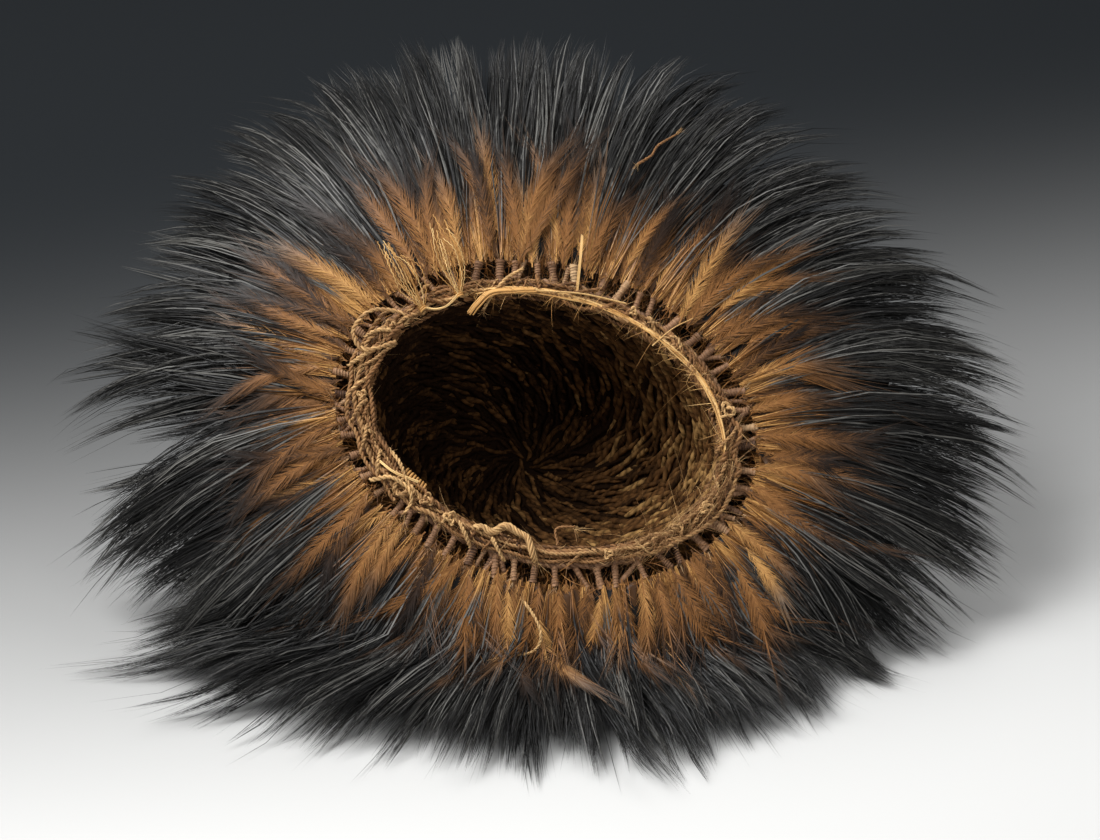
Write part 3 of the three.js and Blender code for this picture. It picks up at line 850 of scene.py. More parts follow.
@dataclass
class QuillPosts:
    """The outer cord and the bound bundles of quills that stand out from it like rungs."""

    opening: Opening
    random: Generator
    count: int = 52
    crossing: int = 34
    radius: float = 2.3 * MM
    rows: int = 9
    sides: int = 8
    place_noise: float = 0.1
    extra_length: float = 3.5
    rise_noise: float = 0.8
    binding: float = 0.7 * MM
    binding_sides: int = 3
    turns: float = 8.5
    steps_per_turn: int = 7
    frays_each: int = 20
    fray_width: float = 0.5 * MM
    cord_slack: float = 1.1
    cord_step: float = 1.3 * MM
    cord_shade: float = 0.42

    def outer_cord(self, maker: CordMaker) -> None:
        """Lay the outer cord."""
        steps = int(self.opening.edge_length() * self.cord_slack / self.cord_step)
        share = np.linspace(0, 1, steps + 1)
        path = self.opening.rim_point(share, self.opening.outer_cord_offset(), 0.0)
        maker.lay(path, self.opening.outer_cord, 3, self.cord_shade)

    def posts(self, mesh: StrandMesh, maker: CordMaker) -> None:
        """Add the posts, each a tapered bundle with a cord wound round it and frayed fibres at its end."""
        random = self.random
        foot, end = self.opening.outer_cord_offset(), self.opening.post_end_offset()
        places = np.concatenate([np.arange(self.count) + 0.5, random.uniform(0, self.count, self.crossing)])
        t = np.linspace(0, 1, self.rows)
        for index, place in enumerate(places):
            kind = CROSSING_POST if index >= self.count else UPRIGHT_POST
            share = (place + random.normal(0, self.place_noise)) / self.count
            lean = random.normal(0, kind.lean)
            reach = end + random.uniform(0, self.extra_length) * MM
            rise = random.normal(kind.rise, self.rise_noise) * MM
            path = self.opening.rim_point(share + lean * t, blend(foot, reach, t), blend(0.0, rise, t))
            swell = 1 + 0.1 * np.sin(t * 11 + random.uniform(*PHASES))
            waist = 1.12 - 0.3 * np.sin(t * math.pi)
            radius = self.radius * random.uniform(*kind.sizes) * swell * waist
            tone = float(np.clip(random.normal(0.4, 0.16), 0, 1))
            mesh.grids(swept(path, radius, self.sides), np.array([tone]), t[None])
            self._binding(maker, path, radius, tone)
            self._crown_frays(maker, path)

    def _binding(self, maker: CordMaker, path: Array, radius: Array, tone: float) -> None:
        """Wind a thin cord round one post.

        Args:
            maker: The maker that lays it.
            path: The middle line of the post.
            radius: The radius of the post in each row.
            tone: The shade of the post.
        """
        t = np.linspace(0.04, 0.96, int(self.turns * self.steps_per_turn))
        row = t * (len(path) - 1)
        centre = read_at(path, row)
        normal, binormal = carried_frame(centre)
        turn = t * self.turns * FULL_TURN + 0.5 * np.sin(t * 9)
        out = np.interp(row, np.arange(len(path)), radius) + self.binding * 0.1
        coil = centre + (normal * np.cos(turn)[:, None] + binormal * np.sin(turn)[:, None]) * out[:, None]
        shade = np.array([np.clip(tone + self.random.normal(0.1, 0.1), 0, 1)])
        maker.mesh.grids(swept(coil, self.binding / 2, self.binding_sides), shade, t[None])

    def _crown_frays(self, maker: CordMaker, path: Array) -> None:
        """Lay the pale split ends that stick out where a feather leaves its post."""
        random, count = self.random, self.frays_each
        way = unit(path[-1] - path[0])
        start = path[-1] - way * random.uniform(0, 3, count)[:, None] * MM
        length = random.uniform(2.5, 8, count) * MM
        shade = random.uniform(0.5, 0.95, count)
        maker.hairs(start, np.broadcast_to(way, (count, 3)), length, 0.42, self.fray_width, shade, 1.0)

    def build(self, material: Material) -> Object:
        """Build the posts with their cord, which stand for their CAD node."""
        mesh = StrandMesh()
        maker = CordMaker(mesh, self.random)
        self.outer_cord(maker)
        self.posts(mesh, maker)
        piece = mesh.build("bound_quill_posts", material, Slot.BINDING)
        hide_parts("quill_posts")
        return piece


@dataclass(frozen=True)
class Tassel:
    """One kinked bundle: its piece, the node that it stands for, and its share of the way round."""

    piece: str
    node: str
    share: float


TASSELS = (Tassel("kinked_tassel_left", "raffia_tassel_left", 0.415),
           Tassel("kinked_tassel_right", "raffia_tassel_right", 0.375))


@dataclass
class PaleFibres:
    """The split strip of fibre along the top of the opening, and the two short kinked bundles."""

    opening: Opening
    random: Generator
    strip_from: float = 0.02
    strip_to: float = 0.36
    strip_width: float = 4.2 * MM
    strip_lift: float = 1.5 * MM
    strip_strands: int = 13
    strip_steps: int = 110
    strand_radius: float = 0.42 * MM
    strand_flatness: float = 0.8
    strands_per_end: int = 8
    strand_spread: float = 0.17
    strand_share: float = 0.18
    coil_turns: int = 8
    coil_steps: int = 96
    coil_radius: float = 0.7 * MM
    strip_frays: int = 520
    fray_spread: float = 0.9
    longest_fray: float = 9.0
    tassel_lift: float = 2.5 * MM
    tassel_length: float = 42 * MM
    tassel_spread: float = 14 * MM
    tassel_rise: float = 16 * MM
    tassel_strands: int = 13
    tassel_upright: float = 0.22
    tassel_steps: int = 58
    tie_turns: int = 4
    tie_steps: int = 40
    tie_reach: float = 1.9 * MM
    tie_width: float = 5 * MM
    tie_radius: float = 0.55 * MM

    def _base(self) -> float:
        """The height of the top of the inner cord."""
        return self.opening.inner_cord + 2 * self.opening.gap

    def _strip_strands(self, mesh: StrandMesh) -> None:
        """Add the flat bundle of split strands that run side by side."""
        random, steps = self.random, self.strip_steps
        base = self._base() + self.strip_lift
        pinch = (0.75 + 0.25 * np.sin(np.linspace(0, 9, steps))) * np.linspace(0.55, 1, steps)
        for strand in range(self.strip_strands):
            start = self.strip_from + random.uniform(0, 0.06)
            share = np.linspace(start, self.strip_to - random.uniform(0, 0.05), steps)
            place = (strand / (self.strip_strands - 1) - 0.5) * self.strip_width * 0.9
            size = random.uniform(0.2, 0.5) * MM
            wave = size * np.sin(np.linspace(0, random.uniform(12, 30), steps) + random.uniform(*PHASES))
            lift = random.uniform(-0.3, 0.5) * MM
            ripple = 0.25 * MM * np.sin(np.linspace(0, random.uniform(9, 22), steps))
            offset = self.opening.inner_cord / 2 + place * pinch + wave
            path = self.opening.rim_point(share, offset, base + lift + ripple)
            tone = np.array([random.uniform(0.35, 0.95)])
            tube = swept(path, self.strand_radius, 5, self.strand_flatness)
            mesh.grids(tube, tone, np.linspace(0, 1, steps)[None])

    def _split_ends(self, mesh: StrandMesh) -> None:
        """Add the pale ends, each a bundle of a few strands."""
        random = self.random
        for end in PALE_ENDS.values():
            centre = end.path(self.opening)
            for _ in range(self.strands_per_end):
                away = random.normal(0, end.diameter * self.strand_spread, 3)[None]
                tone = np.array([np.clip(end.shade + random.normal(0, 0.12), 0, 1)])
                width = end.diameter * self.strand_share * np.linspace(0.6, 1, len(centre))
                mesh.grids(swept(centre + away, width, 5), tone, np.linspace(0, 1, len(centre))[None])

    def _wrapping(self, mesh: StrandMesh) -> None:
        """Add the pale strand that is wound round the inner cord at the left."""
        path = WRAPPING.path(self.opening)
        turn = np.linspace(0, self.coil_turns * FULL_TURN, self.coil_steps)
        row = np.linspace(0, len(path) - 1, self.coil_steps)
        centre, normal, binormal = (read_at(lines, row) for lines in (path, *carried_frame(path)))
        around = normal * np.cos(turn)[:, None] + binormal * np.sin(turn)[:, None]
        coil = centre + around * WRAPPING.diameter / 2
        along = np.linspace(0, 1, self.coil_steps)[None]
        mesh.grids(swept(coil, self.coil_radius, 5), np.array([WRAPPING.shade]), along)

    def _strip_frays(self, maker: CordMaker) -> None:
        """Lay the short fibres that stand out of the strip toward the opening."""
        random, count = self.random, self.strip_frays
        base, offset = self._base() + self.strip_lift, self.opening.inner_cord / 2
        share = random.uniform(self.strip_from, self.strip_to, count)
        start = self.opening.rim_point(share, offset, base)
        inward = start - self.opening.rim_point(share, offset + 2 * MM, base)
        edge = self.opening.rim_point(share, 0.0, base)
        ahead = self.opening.rim_point(share + TINY_TURN, 0.0, base) - edge
        length = np.minimum(random.gamma(3, 1.7, count), self.longest_fray) * MM
        shade = random.uniform(0.1, 0.8, count)
        maker.hairs(start, unit(inward) + unit(ahead), length, self.fray_spread, FRAY_WIDTH, shade)

    def strip(self, material: Material) -> Object:
        """Build the strip with the other pale ends on the rim, which stands for its CAD node."""
        mesh = StrandMesh()
        self._strip_strands(mesh)
        self._split_ends(mesh)
        self._wrapping(mesh)
        self._strip_frays(CordMaker(mesh, self.random))
        piece = mesh.build("split_fibre_strip", material, Slot.PALE)
        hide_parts("fibre_strip")
        return piece

    def tassel(self, tassel: Tassel, material: Material) -> Object:
        """Build one kinked bundle.

        Args:
            tassel: Its piece, its node and its place.
            material: Its material.

        Returns:
            The new object.
        """
        mesh, random = StrandMesh(), self.random
        share, base = np.array(tassel.share), self._base() + self.tassel_lift
        axes = self.opening.axes()
        foot = self.opening.rim_point(share, self.opening.inner_cord / 2, base)
        out = unit(self.opening.rim_point(share, 10 * MM, base) - foot)
        out = unit(out + self.tassel_upright * axes[1])
        side = np.cross(axes[2], out)
        t = np.linspace(0, 1, self.tassel_steps)[:, None]
        for strand in range(self.tassel_strands):
            place = strand / (self.tassel_strands - 1) - 0.5
            spread = place * self.tassel_spread + random.normal(0, 1.6) * MM
            length = self.tassel_length * random.uniform(0.6, 1.04)
            size = random.uniform(0.12, 0.3) * MM
            crimp = size * np.sin(t * random.uniform(60, 95) + random.uniform(*PHASES))
            size = random.uniform(0.3, 1.1) * MM
            bow = size * np.sin(t * random.uniform(5, 13) + random.uniform(*PHASES)) * np.sqrt(t)
            ripple = 0.8 * MM * np.sin(t * random.uniform(6, 16))
            rise = self.tassel_rise * np.sin(t * math.pi / 2) + ripple
            bulge = np.sin(t * random.uniform(2.3, 2.95)) ** 0.8
            path = foot + out * length * t + side * (spread * bulge + crimp + bow) + axes[2] * rise
            width = blend(0.5, 0.36, t[:, 0]) * MM
            mesh.grids(swept(path, width, 4, 0.6), np.array([random.uniform(0.35, 1)]), t[:, 0][None])
        self._tie(mesh, foot, out, side)
        piece = mesh.build(tassel.piece, material, Slot.PALE)
        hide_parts(tassel.node)
        return piece

    def _tie(self, mesh: StrandMesh, foot: Array, out: Array, side: Array) -> None:
        """Wind the tie round the foot of a kinked bundle.

        Args:
            mesh: The mesh to add to.
            foot: Where the bundle starts.
            out: The direction that it leaves the rim in.
            side: The direction across it.
        """
        t = np.linspace(0, 1, self.tie_steps)[:, None]
        turn = t * self.tie_turns * FULL_TURN
        above = self.opening.axes()[2]
        ring = side * np.cos(turn) * self.tie_reach + above * np.sin(turn) * self.tie_reach
        coil = foot + out * (t - 0.2) * self.tie_width + ring
        mesh.grids(swept(coil, self.tie_radius, 5), np.array([0.5]), t[:, 0][None])


@dataclass(frozen=True)
class FeatherRing:
    """One ring of feathers: where it grows, how it bends, and how thick its strands stand."""

    depth: float
    lean: float
    lean_rise: float
    reach: float
    droop: float
    body: float
    locks: int
    layer: int
    tufts_per_lock: int
    strands_per_tuft: int
    brown: float


RINGS = {
    "rim": FeatherRing(0.0, 4, 0, 1.0, 0.75, 14, 30, 3, 9, 108, 44 * MM),
    "second": FeatherRing(0.17, 20, 4, 0.96, 0.8, 16, 26, 2, 6, 72, 36 * MM),
    "third": FeatherRing(0.36, 36, 8, 0.92, 0.85, 18, 22, 1, 6, 43, 30 * MM),
    "fourth": FeatherRing(0.58, 54, 12, 0.84, 0.8, 16, 18, 0, 6, 40, 26 * MM),
    "crown": FeatherRing(0.84, 80, 4, 0.7, 0.4, 8, 14, 0, 4, 32, 22 * MM),
}


@dataclass(frozen=True)
class FeatherSector:
    """A stretch of a ring: its piece, the node that it stands for, and the locks where it starts and ends."""

    piece: str
    node: str
    ring: str
    start: int
    end: int


SECTORS = (
    FeatherSector("upper_rim_feathers", "rim_row_upper", "rim", -1, 16),
    FeatherSector("lower_rim_feathers", "rim_row_lower", "rim", 16, 29),
    FeatherSector("upper_second_feathers", "second_row_upper", "second", 1, 12),
    FeatherSector("lower_second_feathers", "second_row_lower", "second", 12, 27),
    FeatherSector("upper_third_feathers", "third_row_upper", "third", 2, 9),
    FeatherSector("lower_third_feathers", "third_row_lower", "third", 9, 24),
    FeatherSector("left_fourth_feathers", "fourth_row_left", "fourth", 4, 13),
    FeatherSector("right_fourth_feathers", "fourth_row_right", "fourth", 13, 22),
    FeatherSector("crown_feathers", "crown_row", "crown", 0, 14),
)
FEATHER_STRANDS = {
    "strand_below": LooseEnd(((0.776, 11, 5), (0.792, 25, 6), (0.788, 39, 6), (0.768, 53, 5)), 2.1 * MM, 1.0),
    "strand_above": LooseEnd(((0.246, 65, 4), (0.241, 73, 5), (0.24, 82, 4), (0.235, 93, 4)), 1.9 * MM, 0.35),
}
FAN = np.array([0.93, 0.92, 1.0, 0.9, 0.88, 0.88, 0.7, 0.66])


@dataclass
class Plumage:
    """The paths that feathers follow out of the cap and down to the floor."""

    opening: Opening
    length: float = 190 * MM
    root_thickness: float = 5 * MM
    tip_thickness: float = 1.4 * MM
    pressed_thickness: float = 4 * MM
    valley_thickness: float = 0.6
    valley_reach: float = 0.8
    valley_start: float = 0.3
    lock_variation: float = 0.05
    lock_rhythm: float = 2.4
    steps: int = 24
    steps_beyond: int = 5
    layer_height: float = 4.6 * MM
    layer_end: float = 0.72
    floor_start: float = 0.95
    root_gap: float = 0.35 * MM
    side_step: float = 0.004

    def root(self, ring: FeatherRing, angle: Array) -> Array:
        """Where the feathers of a ring start."""
        gap = self.root_gap + self.opening.cut_inside(ring.locks * 2, ring.depth)
        if ring.depth == 0:
            flat = self.opening.oval(angle, self.opening.post_end_offset() + gap)
            return self.opening.world(np.concatenate([flat, np.zeros((len(angle), 1))], -1))
        return self.opening.cap_point(angle, np.full(len(angle), ring.depth), self.opening.wall + gap)

    def fan_length(self, normal: Array) -> Array:
        """The share of the feather length that shows in a direction."""
        turn = (np.arctan2(normal[..., 1], normal[..., 0]) / FULL_TURN % 1) * len(FAN)
        row = np.floor(turn).astype(int) % len(FAN)
        return blend(FAN[row], FAN[(row + 1) % len(FAN)], ease(0, 1, turn - np.floor(turn)))

    def rest_height(self, ring: FeatherRing, share: Array) -> Array:
        """The height of the middle of a ring where it is pressed down."""
        raised = 1 - ease(self.layer_end, self.floor_start, np.asarray(share, dtype=float))
        return ring.layer * self.layer_height * raised + self.pressed_thickness / 2

    def paths(self, ring: FeatherRing, angle: Array) -> Array:
        """The paths of feathers at some angles, in even steps that run a little past the tips.

        Args:
            ring: The ring that they grow in.
            angle: The angle of each one.

        Returns:
            The points, as (feathers, steps, 3).
        """
        normal = self.opening.outward(angle, self.opening.post_end_offset())
        lean = (ring.lean + ring.lean_rise * normal[:, 1]) * DEG
        local = np.stack([normal[:, 0] * np.cos(lean), normal[:, 1] * np.cos(lean), -np.sin(lean)], -1)
        start = local @ self.opening.axes()
        pace = self.length * ring.reach * self.fan_length(normal) / self.steps
        path = [self.root(ring, angle)]
        for step in range(self.steps + self.steps_beyond):
            share = (step + 1) / self.steps
            way = unit(start + np.array([0, 0, -1]) * ring.droop * share) * pace[:, None]
            lowest = self.rest_height(ring, share)
            low = path[step][:, 2] + way[:, 2] < lowest
            rise = np.clip(lowest - path[step][:, 2], -pace, pace)
            level = unit(way[:, :2]) * np.sqrt(np.maximum(pace ** 2 - rise ** 2, 0))[:, None]
            way[low] = np.concatenate([level, rise[:, None]], -1)[low]
            path.append(path[step] + way)
        return np.stack(path, 1)

    def lock_share(self, ring: FeatherRing, share: Array) -> Array:
        """How near a place lies to the middle of a lock: 0 between two locks, 1 in the middle."""
        return np.sin(share * ring.locks * math.pi) ** 2

    def reach_at(self, ring: FeatherRing, share: Array) -> Array:
        """The share of the full length that the ring reaches at a place."""
        column = 2 * np.floor(share * ring.locks) + 1
        full = 1 - self.lock_variation * (1 + np.sin(column * self.lock_rhythm))
        return blend(self.valley_reach, full, self.lock_share(ring, share))

    def thickness(self, ring: FeatherRing, share: Array, lock: Array, height: Array) -> Array:
        """The thickness of a ring.

        Args:
            ring: The ring.
            share: The share of the length from the root.
            lock: How near the place lies to the middle of a lock.
            height: The height of the middle of the ring there.

        Returns:
            The thickness.
        """
        share = np.minimum(share, 1)
        full = blend(self.root_thickness, self.tip_thickness, share)
        full = full + ring.body * MM * np.sin(share * math.pi)
        pressed = self.pressed_thickness + 2 * (height - self.rest_height(ring, share))
        valley = blend(1, self.valley_thickness, np.minimum(share / self.valley_start, 1))
        return np.minimum(full, pressed) * blend(valley, 1, lock)

    def guides(self, ring: FeatherRing, share: Array) -> tuple[Array, Array, Array]:
        """Paths with the directions across them.

        Args:
            ring: The ring.
            share: The share of the way round of each path.

        Returns:
            The paths, the directions round the ring, and the directions out of the face that is seen
            from the front.
        """
        path = self.paths(ring, self.opening.angle_at(share))
        before = self.paths(ring, self.opening.angle_at(share - self.side_step))
        after = self.paths(ring, self.opening.angle_at(share + self.side_step))
        side = unit(after - before)
        face = unit(np.cross(np.gradient(path, axis=1), side))
        return path, side, face

    def on_coat(self, share: Array, distance: Array, lift: Array) -> Array:
        """Points that lie on the feathers of the rim.

        Args:
            share: The share of the way round of each point.
            distance: How far along the feathers each one lies.
            lift: How far it lies over the middle of their coat's face.

        Returns:
            The points, as rows of three.
        """
        ring = RINGS["rim"]
        path, _, face = self.guides(ring, share)
        normal = self.opening.outward(self.opening.angle_at(share), self.opening.post_end_offset())
        place = distance / (self.length * ring.reach * self.fan_length(normal))
        row, step = np.arange(len(share)), np.floor(place * self.steps).astype(int)
        part = (place * self.steps - step)[:, None]
        middle = blend(path[row, step], path[row, step + 1], part)
        out = blend(face[row, step], face[row, step + 1], part)
        half = self.thickness(ring, place, np.ones_like(place), middle[:, 2]) / 2
        return middle + out * (half + lift)[:, None]

    def sample(self, grid: Array, owner: Array, place: Array) -> Array:
        """Values of a stepped grid at places between its steps.

        Args:
            grid: The values, as (paths, steps, 3).
            owner: The path that each strand follows.
            place: The share of the length of each point, as (strands, rows).

        Returns:
            The values, as (strands, rows, 3).
        """
        position = np.clip(place * self.steps, 0, grid.shape[1] - 1.001)
        step = np.floor(position).astype(int)
        share = (position - step)[..., None]
        return blend(grid[owner[:, None], step], grid[owner[:, None], step + 1], share)


@dataclass(frozen=True)
class CoreLayer:
    """A closed core in a stretch: its share of the length, its swell, shade and place in the colours."""

    reach: float
    swell: float
    shade: float
    colour_place: float


# The long core is the coat's black in its darkest tone, partly painted shade inside the coat; the short root
# core is painted dark brown shade behind the posts
PAINTED_SHADE_CORE = CoreLayer(0.56, 1.0, 0.0, 0.6)
ROOT_SHADE_CORE = CoreLayer(0.2, 1.05, 0.1, 0.12)


@dataclass
class FeatherCoat:
    """Grows the strands and the closed cores of each stretch of feathers."""

    plumage: Plumage
    random: Generator
    strand_width: float = 0.54 * MM
    strand_taper: tuple[float, ...] = (0.5, 1.0, 0.95, 0.85, 0.58)
    rows: int = 6
    clumps: int = 5
    stray_share: float = 0.1
    sheen_shaft_share: float = 0.07
    upper_share: float = 0.62
    yaw_spread: float = 0.06
    pitch_spread: float = 0.018
    clump_lift: float = 2.6 * MM
    own_spread: float = 0.42
    floor_lift: float = 1.6
    roll_spread: float = 0.7
    most_beyond: float = 18 * MM
    core_inset: float = 0.06
    core_start: float = 0.02
    core_end_share: float = 0.35
    core_end_locks: float = 1.5
    core_thickness: float = 0.42
    core_thinnest: float = 0.15 * MM
    core_rows: int = 9
    core_columns_per_lock: int = 8
    core_roughness: float = 1.6 * MM
    brown_place: float = 0.3
    brown_shortest: float = 7 * MM

    def core(self, mesh: StrandMesh, sector: FeatherSector) -> None:
        """Add the core that makes the stretch dense, black with painted shade, and the dark brown root core,
        painted shade.
        """
        ring, plumage = RINGS[sector.ring], self.plumage
        columns = (sector.end - sector.start) * self.core_columns_per_lock + 1
        first, last = sector.start + self.core_inset, sector.end - self.core_inset
        share = np.linspace(first, last, columns) / ring.locks
        path, _, face = plumage.guides(ring, share)
        along = np.linspace(self.core_start, 1, self.core_rows)
        from_end = np.minimum(share * ring.locks - sector.start, sector.end - share * ring.locks)
        taper = blend(self.core_end_share, 1.0, ease(0, self.core_end_locks, from_end))
        reach = plumage.reach_at(ring, share) * taper
        owner = np.arange(columns)
        lock = plumage.lock_share(ring, share)[:, None]
        ridge = self.random.uniform(-1, 1, (columns, 1)) * self.core_roughness
        ragged = 0.012 * (1 + np.sin(share * 700)) * (1 + np.sin(share * 1130))
        for layer in (PAINTED_SHADE_CORE, ROOT_SHADE_CORE):
            place = along[None] * reach[:, None] * layer.reach + ragged[:, None]
            middle = plumage.sample(path, owner, place)
            out = plumage.sample(face, owner, place)
            thickness = plumage.thickness(ring, place, lock, middle[..., 2])
            half = thickness * self.core_thickness * layer.swell / 2
            half = half * np.sqrt(np.clip(1.04 - along, 0, 1))[None]
            half = np.maximum(half + ridge * np.sin(along * math.pi)[None], self.core_thinnest)
            upper = middle + out * half[..., None]
            lower = middle - out * half[..., None]
            section = np.concatenate([upper, lower[:, ::-1]], 1)
            section[..., 2] = np.maximum(section[..., 2], FLOOR_CLEARANCE)
            mesh.grids(section[None], np.array([layer.shade]), np.full((1, columns), layer.colour_place))

    def drawn_in(self, points: Array) -> Array:
        """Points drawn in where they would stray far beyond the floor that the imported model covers."""
        low, high = np.array(CAD_BOX)[:, :2]
        middle, edge = (high + low) / 2, (high - low) / 2
        out = points[..., :2] - middle
        over = np.maximum(np.abs(out) - edge, 0)
        kept = np.minimum(np.abs(out), edge) + self.most_beyond * np.tanh(over / self.most_beyond)
        return np.concatenate([middle + np.sign(out) * kept, points[..., 2:]], -1)

    def swirl(self, share: Array) -> Array:
        """How far feathers sweep round the ring by their tips, below zero for clockwise."""
        turn = share % 1
        upper_right = np.exp(-((turn - 0.17) / 0.085) ** 2)
        lower_left = np.exp(-((turn - 0.65) / 0.075) ** 2)
        lower_right = np.exp(-((turn - 0.81) / 0.045) ** 2)
        return -0.2 * upper_right - 0.2 * lower_left + 0.09 * lower_right

    def strands(self, mesh: StrandMesh, sector: FeatherSector) -> None:
        """Add the long strands, in tufts that each split into clumps."""
        ring, random, plumage = RINGS[sector.ring], self.random, self.plumage
        tufts = (sector.end - sector.start) * ring.tufts_per_lock
        tuft = np.arange(tufts) + random.uniform(0.1, 0.9, tufts)
        share = (sector.start + tuft / ring.tufts_per_lock) / ring.locks
        path, side, face = plumage.guides(ring, share)
        layer = np.where(random.uniform(0, 1, tufts) < self.upper_share, 1, -1)
        layer = layer * random.uniform(0.55, 1.0, tufts)
        parting = 1 + 1.6 * np.exp(-((share % 1 - 0.54) / 0.035) ** 2)
        yaw = random.normal(0, self.yaw_spread, tufts) * parting
        curl = random.normal(0, self.yaw_spread, tufts) * parting + self.swirl(share)
        pitch = random.normal(0.0, self.pitch_spread, tufts)
        reach = plumage.reach_at(ring, share) * random.uniform(0.9, 1.06, tufts)
        tone = np.clip(random.normal(0.42, 0.16, tufts), 0, 1)
        wide = random.uniform(5.5, 10.0, tufts) * MM
        wave_size = random.uniform(0.6, 2.6, tufts) * MM
        wave_pace = random.uniform(4, 9, tufts)
        wave_phase = random.uniform(0, FULL_TURN, tufts)
        clump_side = random.uniform(-1, 1, (tufts, self.clumps))
        clump_lift = random.uniform(-1, 1, (tufts, self.clumps))
        clump_reach = random.uniform(0.9, 1.05, (tufts, self.clumps))

        count = tufts * ring.strands_per_tuft
        owner = np.repeat(np.arange(tufts), ring.strands_per_tuft)
        clump = random.integers(0, self.clumps, count)
        stray = random.uniform(0, 1, count) < self.stray_share
        sheen_shaft = ~stray & (random.uniform(0, 1, count) < self.sheen_shaft_share)
        extent = reach[owner] * clump_reach[owner, clump] * (1.03 - 0.3 * random.uniform(0, 1, count) ** 2.2)
        extent = np.where(stray, extent * random.uniform(0.95, 1.13, count), extent)
        start = random.uniform(0.0, 0.16, count) ** 1.3
        inner = np.linspace(0, 1, self.rows)[None].repeat(count, 0)
        inner[:, 1:-1] += random.uniform(-0.07, 0.07, (count, self.rows - 2))
        place = start[:, None] + (extent - start)[:, None] * inner
        own_side = random.normal(0, self.own_spread, count)
        own_lift = random.normal(0, self.own_spread, count) + 0.9 * sheen_shaft
        open_out = ease(0, 0.55, place) * 0.92 + 0.08
        gather = blend(1, np.where(stray, 1.9, 0.22)[:, None], ease(0.4, 1.0, inner))
        gather = gather * (0.12 + 0.88 * ease(0, 0.4, place))
        full = plumage.length * ring.reach
        across = open_out * clump_side[owner, clump][:, None] + gather * own_side[:, None]
        across = wide[owner, None] * across
        across = across + full * (yaw[owner, None] * place + curl[owner, None] * place ** 2)
        sway = np.sin(place * wave_pace[owner, None] + wave_phase[owner, None] + 1.3 * clump[:, None])
        across = across + wave_size[owner, None] * sway * place
        middle = plumage.sample(path, owner, place)
        lock = plumage.lock_share(ring, share)[owner, None]
        half = plumage.thickness(ring, place, lock, middle[..., 2]) / 2
        lift = half * layer[owner, None] + full * pitch[owner, None] * place
        own = open_out * clump_lift[owner, clump][:, None] + gather * own_lift[:, None]
        lift = lift + self.clump_lift * own
        sides, faces = plumage.sample(side, owner, place), plumage.sample(face, owner, place)
        points = self.drawn_in(middle + sides * across[..., None] + faces * lift[..., None])
        lowest = FLOOR_CLEARANCE + random.uniform(0, self.floor_lift, count)[:, None] * MM
        points[..., 2] = np.maximum(points[..., 2], lowest)
        roll = random.normal(0, self.roll_spread, count)[:, None, None]
        width = self.strand_width * (random.uniform(0.75, 1.2, count) + 0.6 * sheen_shaft)[:, None, None]
        taper = np.array(self.strand_taper)[None, :, None] / 2
        edge = unit(sides[:, :-1] * np.cos(roll) + faces[:, :-1] * np.sin(roll)) * width * taper
        brown = self._brown_length(ring, share, owner, sheen_shaft)
        distance = place * full
        root_part = self.brown_place * distance / brown
        rest = (distance - brown) / np.maximum(extent[:, None] * full - brown, 1 * MM)
        along = np.where(distance < brown, root_part, self.brown_place + (1 - self.brown_place) * rest)
        # Shaft strands are lifted to a lighter shade: their grey is painted sheen on the black hair
        shade = np.clip(tone[owner] + random.normal(0, 0.15, count) + 0.4 * sheen_shaft, 0.02, 1)
        mesh.ribbons(points, edge, shade, np.clip(along, 0.01, 0.99))

    def _brown_length(self, ring: FeatherRing, share: Array, owner: Array, sheen_shaft: Array) -> Array:
        """How far from its root each strand stays brown.

        Args:
            ring: The ring that the strands grow in.
            share: The share of the way round of each tuft.
            owner: The tuft of each strand.
            sheen_shaft: Which strands are the lighter shafts, whose grey is painted sheen.

        Returns:
            The lengths, as (strands, 1).
        """
        random, count = self.random, len(owner)
        covered = 0.16 + 0.45 * np.exp(-((share % 1 - 0.665) / 0.06) ** 2)
        early = (random.uniform(0, 1, len(share)) < covered)[owner]
        length = np.where(early, random.uniform(0.15, 0.7, count), random.normal(1.05, 0.2, count))
        return np.maximum(ring.brown * length * np.where(sheen_shaft, 0.35, 1.0), self.brown_shortest)[:, None]

    def build(self, sector: FeatherSector, material: Material) -> Object:
        """Build one stretch of feathers, which stands for its CAD node."""
        mesh = StrandMesh()
        self.core(mesh, sector)
        self.strands(mesh, sector)
        piece = mesh.build(sector.piece, material, Slot.FEATHER)
        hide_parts(sector.node)
        return piece


def feather_strands(plumage: Plumage, random: Generator, material: Material) -> Object:
    """Build the short cords that have come to lie on the feathers.

    Args:
        plumage: The feathers that they lie on.
        random: The source of chance.
        material: Their material.

    Returns:
        The new object.
    """
    maker, count = CordMaker(StrandMesh(), random), 12
    for end in FEATHER_STRANDS.values():
        share, distance, lift = np.array(end.places).T
        path = smooth_path(plumage.on_coat(share, distance * MM, lift * MM), LOOSE_SPACING)
        maker.lay(path, end.diameter, end.plies, end.shade, LOOSE_TAPER)
        for tip, inner in ((path[0], path[4]), (path[-1], path[-5])):
            way = np.broadcast_to(unit(tip - inner), (count, 3))
            start = tip + random.normal(0, 0.4, (count, 3)) * MM
            length = random.uniform(2, 7, count) * MM
            maker.hairs(start, way, length, 0.35, FRAY_WIDTH, random.uniform(0.5, 1, count))
    return maker.mesh.build("strands_on_feathers", material, Slot.CORD)


